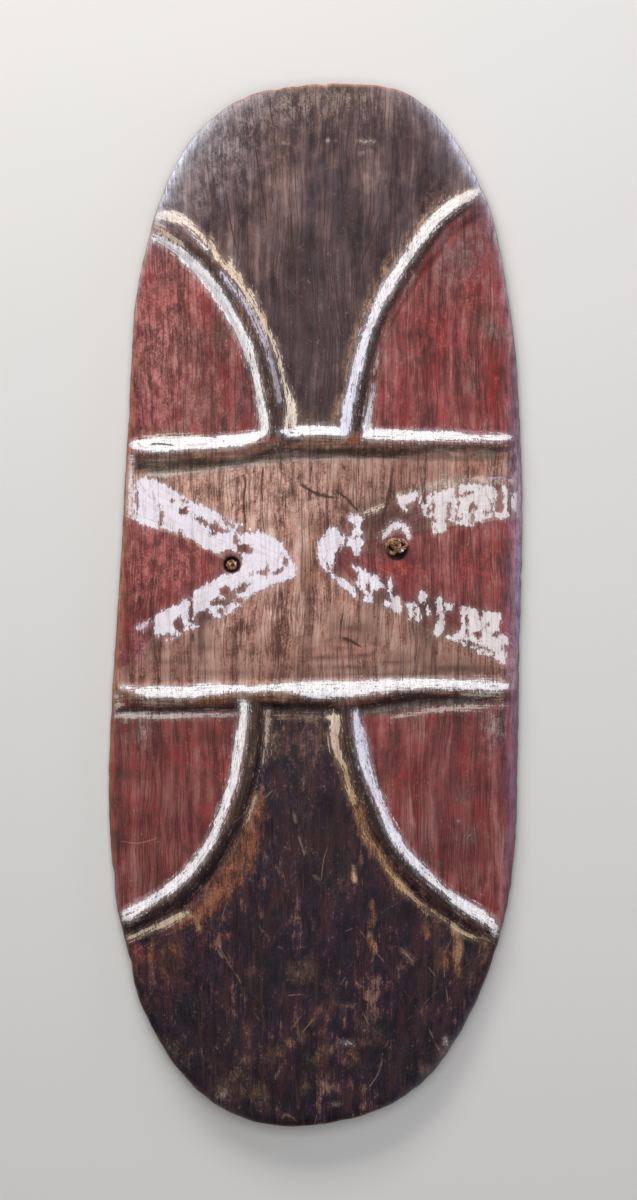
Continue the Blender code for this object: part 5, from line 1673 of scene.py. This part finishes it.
class Coats:
    """The painted wood's colour, laid coat over coat."""

    def __init__(self, finish: PaintedWood, graph: Graph, effects: Effects) -> None:
        """Starts with the band's ground and with what every coat reads.

        Args:
            finish: The tints.
            graph: The material's graph.
            effects: The shared node groups.
        """
        self.finish, self.graph, self.effects = finish, graph, effects
        self.where = graph.add("TexCoord").outputs["Object"]
        self.grain = self.effect(effects.grain)
        parts = self.grain.outputs
        self.blotch, self.fibre, self.fleck = parts["Blotch"], parts["Fibre"], parts["Fleck"]
        self.flute = graph.field("flute")
        self.sway = graph.total(0.0, (self.blotch, 0.006), (self.fibre, 0.004))
        self.colour = finish.band.build(graph, self.grain, self.flute)

        along, across = graph.field("brush_along"), graph.field("brush_across")
        pitch = {0: graph.times(along, 26.0), 1: graph.times(across, 380.0), 2: 0.0}
        self.brush = graph.get("CombineXYZ", pitch)
        near = graph.step(graph.math("ABSOLUTE", across), 0.018, 0.032, 1.0, 0.0)
        self.drag = graph.times(graph.noise(self.brush, 1.0, 3, 0.6), near)

    def effect(self, tree: bpy.types.NodeTree, **inputs: Value) -> bpy.types.Node:
        """Places a shared node group."""
        return self.graph.add("Group", {"Vector": self.where, **inputs}, node_tree=tree)

    def cover(self, share: Value, tint: Socket | Tint) -> None:
        """Covers a share of the colour so far."""
        self.colour = self.graph.mix(share, self.colour, tint)

    def lay_grounds(self) -> None:
        """Lays the red fields and the two dark ends over the band."""
        graph, finish = self.graph, self.finish
        grounds = {"red_zone": finish.red, "upper_zone": finish.upper, "lower_zone": finish.lower}
        for name, ground in grounds.items():
            depth = graph.math("ADD", graph.field(name), self.sway)
            ground_colour = ground.build(graph, self.grain, self.flute)
            self.cover(graph.step(depth, -0.0012, 0.0012), ground_colour)

    def lay_earth_and_shade(self) -> None:
        """Lays the ribs' brown crests and the stains, with the painted shadows along the ribs and
        under the right knot and a painted highlight at the upper end, broken up by the grain.
        """
        graph, blotch, fleck, drag = self.graph, self.blotch, self.fleck, self.drag
        amount = graph.field("earth", "Alpha")
        broken = graph.total(0.0, (blotch, 1.6), (self.fibre, 0.9), (fleck, 1.2), (drag, 1.3))
        edge = graph.times(graph.times(amount, graph.math("SUBTRACT", 1.1, amount)), 4.0)
        amount = graph.math("ADD", amount, graph.times(edge, broken), clamp=True)
        shade = graph.total(0.5, (drag, 2.6), (blotch, 2.0), (fleck, 1.6))
        shade = graph.step(shade, 0.25, 0.75, 0.62, 0.0)
        earth = graph.mix(shade, graph.field("earth", "Color"), self.finish.deep_earth)
        crumbs = graph.total(0.0, (fleck, 1.0), (drag, 0.9), (blotch, 0.6))
        crumbs = graph.step(crumbs, 0.13, 0.24, 0.0, 0.50)
        self.cover(amount, graph.mix(crumbs, earth, self.finish.crumb))

    def lay_whites(self) -> None:
        """Lays the white lines and the two chevrons, brushed on dry and flaking."""
        graph, finish, flaking = self.graph, self.finish, self.effects.flaking
        pale = self.effect(
            flaking, Brush=self.brush, Depth=graph.field("pale_zone"),
            Cover=graph.field("pale", "Alpha"), Edge=0.0048, Fray=0.010, Streak=2.6,
        )  # fmt: skip
        chevron = self.effect(
            flaking, Brush=self.brush, Depth=graph.field("chevron_zone"),
            Cover=graph.total(1.0, (graph.field("chevron_wear"), -0.22)),
            Edge=0.0022, Fray=0.022, Streak=0.5,
        )  # fmt: skip
        whole = graph.math("ADD", graph.field("chevron_whole"), self.sway)
        self.cover(graph.step(whole, 0.0005, 0.0030, 0.0, 0.4), finish.worn_red)
        right = graph.step(graph.get("SeparateXYZ", {0: self.where}), 0.080, 0.110)
        chalk = graph.mix(right, finish.chalk, finish.cream_chalk)
        tint = graph.field("pale", "Color")
        for group, white, haze, dulled in ((chevron, chalk, 0.12, 0.22), (pale, tint, 0.20, 0.45)):
            self.cover(graph.times(group.outputs["Haze"], haze), white)
            dull = graph.mix(dulled, white, finish.under_chalk)
            self.cover(group.outputs["Mask"], graph.mix(group.outputs["Brushed"], dull, white))
        self.paint = graph.highest(pale.outputs["Mask"], chevron.outputs["Mask"])

    def marks(self, name: str, fray: float, full: float, cover: float) -> Socket:
        """Makes the mask of one kind of scratch.

        Args:
            name: The field that holds the scratches.
            fray: How far the flecks break up their edges.
            full: Up to which share of their half width they cover fully.
            cover: How much they cover.

        Returns:
            The mask.
        """
        graph = self.graph
        reading = graph.math("ABSOLUTE", graph.total(graph.field(name), (self.fleck, fray)))
        shown = graph.field(name + "_shown")
        return graph.times(graph.step(reading, full, 0.80, cover, 0.0), shown)

    def scratch(self) -> None:
        """Cuts the cracks, hairlines, nicks and scratches."""
        graph, finish, hairlines = self.graph, self.finish, self.effects.hairlines
        fade = graph.step(self.paint, 0.0, 1.0, 0.68, 0.24)
        self.cracks = graph.times(self.grain.outputs["Line"], fade)
        self.cover(self.cracks, finish.dark_scratch)
        hairs = self.effect(hairlines, Scale=9.0, Width=0.0034).outputs["Mask"]
        shown = graph.step(graph.field("lower_zone"), 0.0, 0.02, 0.10, 0.38)
        self.cover(graph.times(hairs, shown), finish.scratch)
        upper = graph.step(graph.field("upper_zone"), -0.002, 0.006, 1.0, 0.15)
        lower = graph.step(graph.field("lower_zone"), -0.002, 0.006, 1.0, 0.5)
        self.quiet = graph.times(upper, lower)
        nicks = self.effect(hairlines, Scale=26.0, Width=0.010).outputs["Mask"]
        self.cover(graph.times(nicks, graph.times(self.quiet, 0.45)), finish.nick)
        self.scratches = self.marks("scratch", 1.2, 0.30, 0.85)
        self.cover(self.scratches, finish.dark_scratch)
        self.cover(self.marks("pale_scratch", 1.6, 0.20, 0.34), finish.scratch)

    def wear(self) -> None:
        """Scatters specks, darkens the flutes' hollows, rubs the edge bare, and lays the painted
        rim highlights and the painted shade in the holes' mouths.
        """
        graph, finish = self.graph, self.finish
        blotch, fibre, fleck = self.blotch, self.fibre, self.fleck
        specks = graph.step(graph.total(0.0, (fleck, 1.0), (blotch, 0.35)), 0.22, 0.26, 0.0, 0.6)
        self.cover(graph.times(specks, self.quiet), finish.speck)
        # Darker in the flutes' hollows.
        flute_hollow_darkening = graph.total(self.flute, (fibre, 1.2), (blotch, 1.0))
        self.cover(graph.step(flute_hollow_darkening, -1.3, -0.2, 0.12, 0.0), finish.flute_hollow_darkening)
        bare = finish.bare.build(graph, self.grain, self.flute)
        rim = graph.total(graph.field("inset"), (blotch, 0.008), (fibre, 0.004))
        self.cover(graph.step(rim, 0.0028, 0.0006, 0.0, 0.8), bare)
        # Painted highlights and reflections along the rim, broken up by the grain.
        uneven = graph.total(0.85, (blotch, 1.6), (fleck, 1.4), (fibre, 2.2))
        painted_rim_sheen = graph.times(graph.field("glow", "Alpha"), uneven, clamp=True)
        self.cover(painted_rim_sheen, graph.field("glow", "Color"))
        self.cover(graph.field("bare"), bare)
        # Painted shade in the holes' mouths.
        self.cover(graph.times(graph.field("soot"), 0.92), finish.soot)

    def relief(self) -> Socket:
        """Height of the relief that is finer than the mesh."""
        streak, furrow = self.grain.outputs["Streak"], self.grain.outputs["Furrow"]
        return self.graph.total(
            0.0, (self.fibre, 0.0006), (streak, 0.0006), (self.blotch, 0.0008), (furrow, 0.0016),
            (self.fleck, 0.0003), (self.paint, 0.0003), (self.scratches, -0.0004),
            (self.cracks, -0.0006),
        )  # fmt: skip


@dataclass(frozen=True)
class FibreFinish:
    """Dry twisted plant fibre."""

    name: str
    dark: Tint
    middle: Tint
    light: Tint
    frayed: float = 0.0
    frayed_tip: Tint = (228, 222, 216)

    def build(self) -> bpy.types.Material:
        """Makes the material."""
        material, graph, shader = new_material(self.name)
        around, along = graph.field("around"), graph.field("along")
        turned = graph.total(graph.times(around, 6.0), (along, 90.0))
        place = graph.get("CombineXYZ", {0: turned, 1: graph.times(along, 40.0), 2: 0.0})
        thread = graph.noise(place, 2.6, 3, 0.6)
        cloud = graph.noise(graph.add("TexCoord").outputs["Object"], 260, 3, 0.6)
        value = graph.total(0.46, (thread, 2.2), (cloud, 1.6))
        stops = ((0.15, self.dark), (0.50, self.middle), (0.85, self.light))
        tip = graph.step(graph.field("share"), 0.965, 0.985, 0.0, self.frayed)
        bump = {"Height": graph.times(thread, 0.0005), "Strength": 0.8, "Distance": 1.0}
        graph.set(shader, {
            "Base Color": graph.mix(tip, graph.colours(value, stops), self.frayed_tip),
            "Roughness": graph.step(thread, -0.2, 0.2, 0.9, 0.62),
            "Normal": graph.get("Bump", bump),
        })  # fmt: skip
        return material


class StrandTree:
    """Geometry nodes that twist strands of fibre round a path."""

    def __init__(self) -> None:
        """Builds the tree with its named inputs."""
        tree = bpy.data.node_groups.new("twisted_strands", "GeometryNodeTree")
        kinds = {"Path": "Geometry", "Strands": "Int", "Strand Radius": "Float", "Spread": "Float",
                 "Lay": "Float", "Step": "Float", "Fray": "Float", "Seed": "Int",
                 "Finish": "Material"}  # fmt: skip
        new = tree.interface.new_socket
        self.inputs = {
            name: new(name=name, in_out="INPUT", socket_type="NodeSocket" + kind).identifier
            for name, kind in kinds.items()
        }
        new(name="Strands", in_out="OUTPUT", socket_type="NodeSocketGeometry")
        self.tree = tree
        self.fill(Graph(tree))

    def fill(self, graph: Graph) -> None:
        """Places the nodes: the path's copies, each turned round it, and a tube along each."""
        get, given = graph.get, graph.add("NodeGroupInput").outputs
        curve = get("GeometryNodeMeshToCurve", {"Mesh": given["Path"]})
        fine = {"Curve": curve, "Length": given["Step"]}
        fine = get("GeometryNodeResampleCurve", fine, mode="LENGTH")
        many = {"Geometry": fine, "Amount": given["Strands"]}
        many = graph.add("GeometryNodeDuplicateElements", many, domain="SPLINE").outputs
        spline = graph.add("GeometryNodeSplineParameter").outputs
        along, share = spline["Length"], spline["Factor"]

        turn = graph.times(graph.math("DIVIDE", along, given["Lay"]), 2 * math.pi)
        which = graph.math("DIVIDE", many["Duplicate Index"], given["Strands"])
        turn = graph.total(turn, (which, 2 * math.pi))
        normal, tangent = get("GeometryNodeInputNormal"), get("GeometryNodeInputTangent")
        beside = get("VectorMath", {0: tangent, 1: normal}, operation="CROSS_PRODUCT")
        seed = graph.total(graph.times(along, 90.0), (given["Seed"], 3.7))
        noise = get("TexNoise", {"W": seed, "Scale": 1.0}, noise_dimensions="1D")
        wild = graph.times(graph.math("SUBTRACT", noise, 0.5), given["Fray"])
        out = graph.math("ADD", given["Spread"], wild)
        sides = []
        for axis, wave in ((normal, "COSINE"), (beside, "SINE")):
            reach = {0: axis, "Scale": graph.times(graph.math(wave, turn), out)}
            sides.append(get("VectorMath", reach, operation="SCALE"))
        offset = get("VectorMath", dict(enumerate(sides)), operation="ADD")
        laid = {"Geometry": many["Geometry"], "Offset": offset}
        laid = self.stored(graph, get("GeometryNodeSetPosition", laid), "along", along)
        laid = self.stored(graph, laid, "share", share)

        ring = {"Resolution": 8, "Radius": given["Strand Radius"]}
        ring = self.stored(graph, get("GeometryNodeCurvePrimitiveCircle", ring), "around", share)
        tube = {"Curve": laid, "Profile Curve": ring, "Fill Caps": True}
        smooth = {"Geometry": get("GeometryNodeCurveToMesh", tube)}
        real = {"Geometry": get("GeometryNodeSetShadeSmooth", smooth)}
        real = get("GeometryNodeRealizeInstances", real)
        dressed = get("GeometryNodeSetMaterial", {"Geometry": real, "Material": given["Finish"]})
        graph.add("NodeGroupOutput", {0: dressed})

    def stored(self, graph: Graph, geometry: Socket, name: str, value: Socket) -> Socket:
        """Stores a number on each point."""
        inputs = {"Geometry": geometry, "Name": name, "Value": value}
        return graph.get("GeometryNodeStoreNamedAttribute", inputs, domain="POINT")

    def twist(
        self, name: str, path: Array, finish: bpy.types.Material, **sizes: float
    ) -> bpy.types.Object:
        """Twists strands round a path.

        Args:
            name: The piece's name.
            path: The path's points.
            finish: The strands' material.
            sizes: The tree's other inputs, with _ for a space.

        Returns:
            The piece, a plain mesh.
        """
        host = new_object(name, path.tolist(), [(i, i + 1) for i in range(len(path) - 1)], [])
        modifier = host.modifiers.new("strands", "NODES")
        modifier.node_group = self.tree
        modifier[self.inputs["Finish"]] = finish
        for label, value in sizes.items():
            modifier[self.inputs[label.replace("_", " ").title()]] = value
        evaluated = host.evaluated_get(bpy.context.evaluated_depsgraph_get())
        made = bpy.data.meshes.new_from_object(evaluated)
        host.modifiers.remove(modifier)
        host.data = made
        return host


# The knots' turns from the middle of the knot, in millimetres.
LEFT_TURNS: tuple[Spot, ...] = (
    (-1, -4, -5), (-4.2, -2.5, -3.5), (-4.5, 2, -2), (-0.5, 4.4, -1), (3.6, 2.8, -0.6),
    (4.6, -1.5, -1), (1.5, -4.3, -1), (-2.5, -2.2, 0.6), (-1.5, 1.5, 1.6), (2, 1, 1.8),
    (4.8, 0.8, 0.8),
)  # fmt: skip
RIGHT_TURNS: tuple[Spot, ...] = (
    (-4, -9, -5), (-10.5, -6, -2), (-12.5, 0, 0.5), (-9, 5.5, 2), (-2, 8, 3), (6, 6.5, 3.4),
    (11.5, 3, 2), (10, -1.5, 0), (4, -3.6, -0.5), (-4, -1.2, 1), (-5.5, 3, 3), (1, 3.4, 5.0),
    (3.4, -0.8, 5.2), (0.6, -4.2, 4.2), (4.2, -6.6, 3.4), (6.8, -4.8, 2.6),
)  # fmt: skip


@dataclass
class KnottedEnd:
    """One end of the cord, knotted in the mouth of its hole."""

    name: str
    hole: Hole
    middle: Spot
    turns: tuple[Spot, ...]
    strand: float
    lay: float = 0.014
    step: float = 0.0011

    def path(self, shape: BoardShape, neck: float) -> Array:
        """Draws the cord's way up the hole and round its own knot.

        Args:
            shape: The board's heights.
            neck: Height of the neck's lower end.

        Returns:
            Points along it.
        """
        x, y = self.hole.place
        face = float(shape.face(np.array([self.hole.place]))[0])
        middle = np.array((x, y, face)) + self.middle
        turns = [middle + np.array(turn) / 1000 for turn in self.turns]
        return smooth_path([(x, y, neck), (x, y, neck + 0.003), *turns], 0.0010)

    def build(
        self, shape: BoardShape, neck: float, strands: StrandTree, finish: bpy.types.Material
    ) -> bpy.types.Object:
        """Makes the knot.

        Args:
            shape: The board's heights.
            neck: Height of the neck's lower end.
            strands: The geometry nodes that twist the strands.
            finish: The strands' material.

        Returns:
            Its object.
        """
        return strands.twist(
            self.name, self.path(shape, neck), finish, strands=3, strand_radius=self.strand,
            spread=self.strand * 0.95, lay=self.lay, step=self.step, fray=self.strand * 0.35,
            seed=4,
        )  # fmt: skip


@dataclass
class GripCord:
    """The cord behind the board, from one knot to the other."""

    diameter: float = 0.006
    gap: float = 0.0003
    neck_share: float = 0.55
    rest: float = 0.0031
    strand_share: float = 0.26
    spread_share: float = 0.23
    lay: float = 0.020
    step: float = 0.0016

    def neck(self, shape: BoardShape, hole: Hole) -> float:
        """Height where a knot's neck ends inside its hole."""
        place = np.array([hole.place])
        low, high = float(shape.back(place)[0]), float(shape.face(place)[0])
        return low + self.neck_share * (high - low)

    def path(self, shape: BoardShape, left: Hole, right: Hole) -> Array:
        """Draws the cord's centreline from hole to hole, slack on the ground between them.

        Args:
            shape: The board's heights.
            left: The hole where it starts.
            right: The hole where it ends.

        Returns:
            Points along it.
        """
        holes, low = (left, right), self.rest
        ends = [(*hole.place, self.neck(shape, hole) - self.gap) for hole in holes]
        backs = [(*hole.place, float(shape.back(np.array([hole.place]))[0])) for hole in holes]
        slack = (
            (-0.1032, 0.0463, 0.0148), (-0.0982, 0.0378, 0.0072), (-0.0880, 0.0262, 0.0038),
            (-0.0730, 0.0120, low), (-0.0480, -0.0035, low), (-0.0170, -0.0120, low),
            (0.0160, -0.0105, low), (0.0470, 0.0025, low), (0.0710, 0.0230, low),
            (0.0870, 0.0435, 0.0038), (0.0955, 0.0560, 0.0072), (0.1000, 0.0652, 0.0148),
        )  # fmt: skip
        return smooth_path([ends[0], backs[0], *slack, backs[1], ends[1]], 0.002)


@dataclass(frozen=True)
class Lamp:
    """A soft light that faces the shield: its place, its width and height, its power in watts and
    its colour."""

    name: str
    place: Spot
    size: Place
    power: float
    colour: Spot

    def build(self) -> None:
        """Hangs the light."""
        data = bpy.data.lights.new(self.name, "AREA")
        data.shape = "RECTANGLE"
        data.size, data.size_y = self.size
        data.energy = self.power
        data.color = self.colour
        lamp = bpy.data.objects.new(self.name, data)
        lamp.location = self.place
        lamp.rotation_euler = Vector(self.place).to_track_quat("Z", "Y").to_euler()
        bpy.context.scene.collection.objects.link(lamp)


@dataclass
class Studio:
    """A plain pale floor, soft light and a camera that looks straight down on the face."""

    lens: float = 100.0
    sensor: float = 36.0
    view_height: float = 1.5
    aim: Spot = (0.00375, 0.00625, 0.020)
    far: float = 100.0
    floor_size: float = 60.0
    floor_gap: float = 0.0005
    floor_tint: Tint = (206, 204, 202)
    ambient: tuple[float, float, float, float] = (0.80, 0.82, 0.86, 1)
    ambient_strength: float = 0.22
    lamps: tuple[Lamp, ...] = (
        Lamp("key", (-0.7, 2.6, 1.7), (2.4, 1.0), 84, (1.0, 0.985, 0.96)),
        Lamp("overhead", (0.0, 0.2, 3.4), (2.6, 2.6), 64, (1.0, 1.0, 1.0)),
        Lamp("cool_right", (2.6, 0.4, 0.9), (1.4, 1.0), 14, (0.80, 0.84, 1.0)),
    )

    def camera(self) -> None:
        """Places the camera at the photograph's angle."""
        data = bpy.data.cameras.new("camera")
        data.lens = self.lens
        data.sensor_width = self.sensor
        data.clip_end = self.far
        camera = bpy.data.objects.new("camera", data)
        x, y, z = self.aim
        camera.location = (x, y, z + self.view_height * self.lens / self.sensor)
        bpy.context.scene.collection.objects.link(camera)
        bpy.context.scene.camera = camera

    def floor(self) -> bpy.types.Object:
        """Lays the pale floor just under the shield."""
        half = self.floor_size / 2
        sides = ((-half, -half), (half, -half), (half, half), (-half, half))
        corners = [(x, y, -self.floor_gap) for x, y in sides]
        floor = new_object("floor", corners, [], [(0, 1, 2, 3)])
        material, graph, shader = new_material("pale_floor")
        graph.set(shader, {"Base Color": linear(self.floor_tint), "Roughness": 0.85})
        floor.data.materials.append(material)
        return floor

    def build(self) -> bpy.types.Object:
        """Sets the whole studio up and gives back its floor."""
        self.camera()
        for lamp in self.lamps:
            lamp.build()
        world = bpy.data.worlds.new("studio")
        world.use_nodes = True
        background = {"Color": self.ambient, "Strength": self.ambient_strength}
        Graph(world.node_tree).set(world.node_tree.nodes["Background"], background)
        bpy.context.scene.world = world
        bpy.context.scene.view_settings.view_transform = "Standard"
        return self.floor()


def main() -> None:
    """Builds the studio and the shield's pieces, attaches each to the root body and hides the
    model's part that it stands for.
    """
    logging.basicConfig(level=logging.INFO, format="%(message)s")
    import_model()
    Studio().build()
    low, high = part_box("shield_board")
    shape = BoardShape(length=high[1] - low[1], width=high[0] - low[0])
    left, right = Hole((-0.104, 0.050), 0.021), Hole((0.101, 0.069), 0.027)

    board = CarvedBoard(shape, (left, right)).build()
    board.data.materials.append(PaintedWood().build(Effects()))
    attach(board, "root")
    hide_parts("shield_board")
    LOG.info("carved_board: %d faces", len(board.data.polygons))

    strands, cord = StrandTree(), GripCord()
    fibre = FibreFinish("knot_fibre", (34, 21, 17), (136, 88, 61), (226, 182, 144), 0.9)
    knot_finish = fibre.build()
    cord_finish = FibreFinish("cord_fibre", (70, 48, 30), (132, 98, 64), (176, 144, 104)).build()
    left_end = KnottedEnd("left_cord_knot", left, (0.0, 0.0, -0.0030), LEFT_TURNS, 0.00120)
    right_end = KnottedEnd("right_cord_knot", right, (0.0, 0.0044, 0.0), RIGHT_TURNS, 0.00140)
    for end, node in ((left_end, "knot_left"), (right_end, "knot_right")):
        knot = end.build(shape, cord.neck(shape, end.hole), strands, knot_finish)
        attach(knot, "root")
        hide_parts(node)
        LOG.info("%s: %d faces", end.name, len(knot.data.polygons))

    path = cord.path(shape, left, right)
    rope = strands.twist(
        "twisted_grip_cord", path, cord_finish, strands=2,
        strand_radius=cord.diameter * cord.strand_share,
        spread=cord.diameter * cord.spread_share, lay=cord.lay, step=cord.step, fray=0.0, seed=1,
    )  # fmt: skip
    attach(rope, "root")
    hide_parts("grip_cord")


if __name__ == "__main__":
    main()
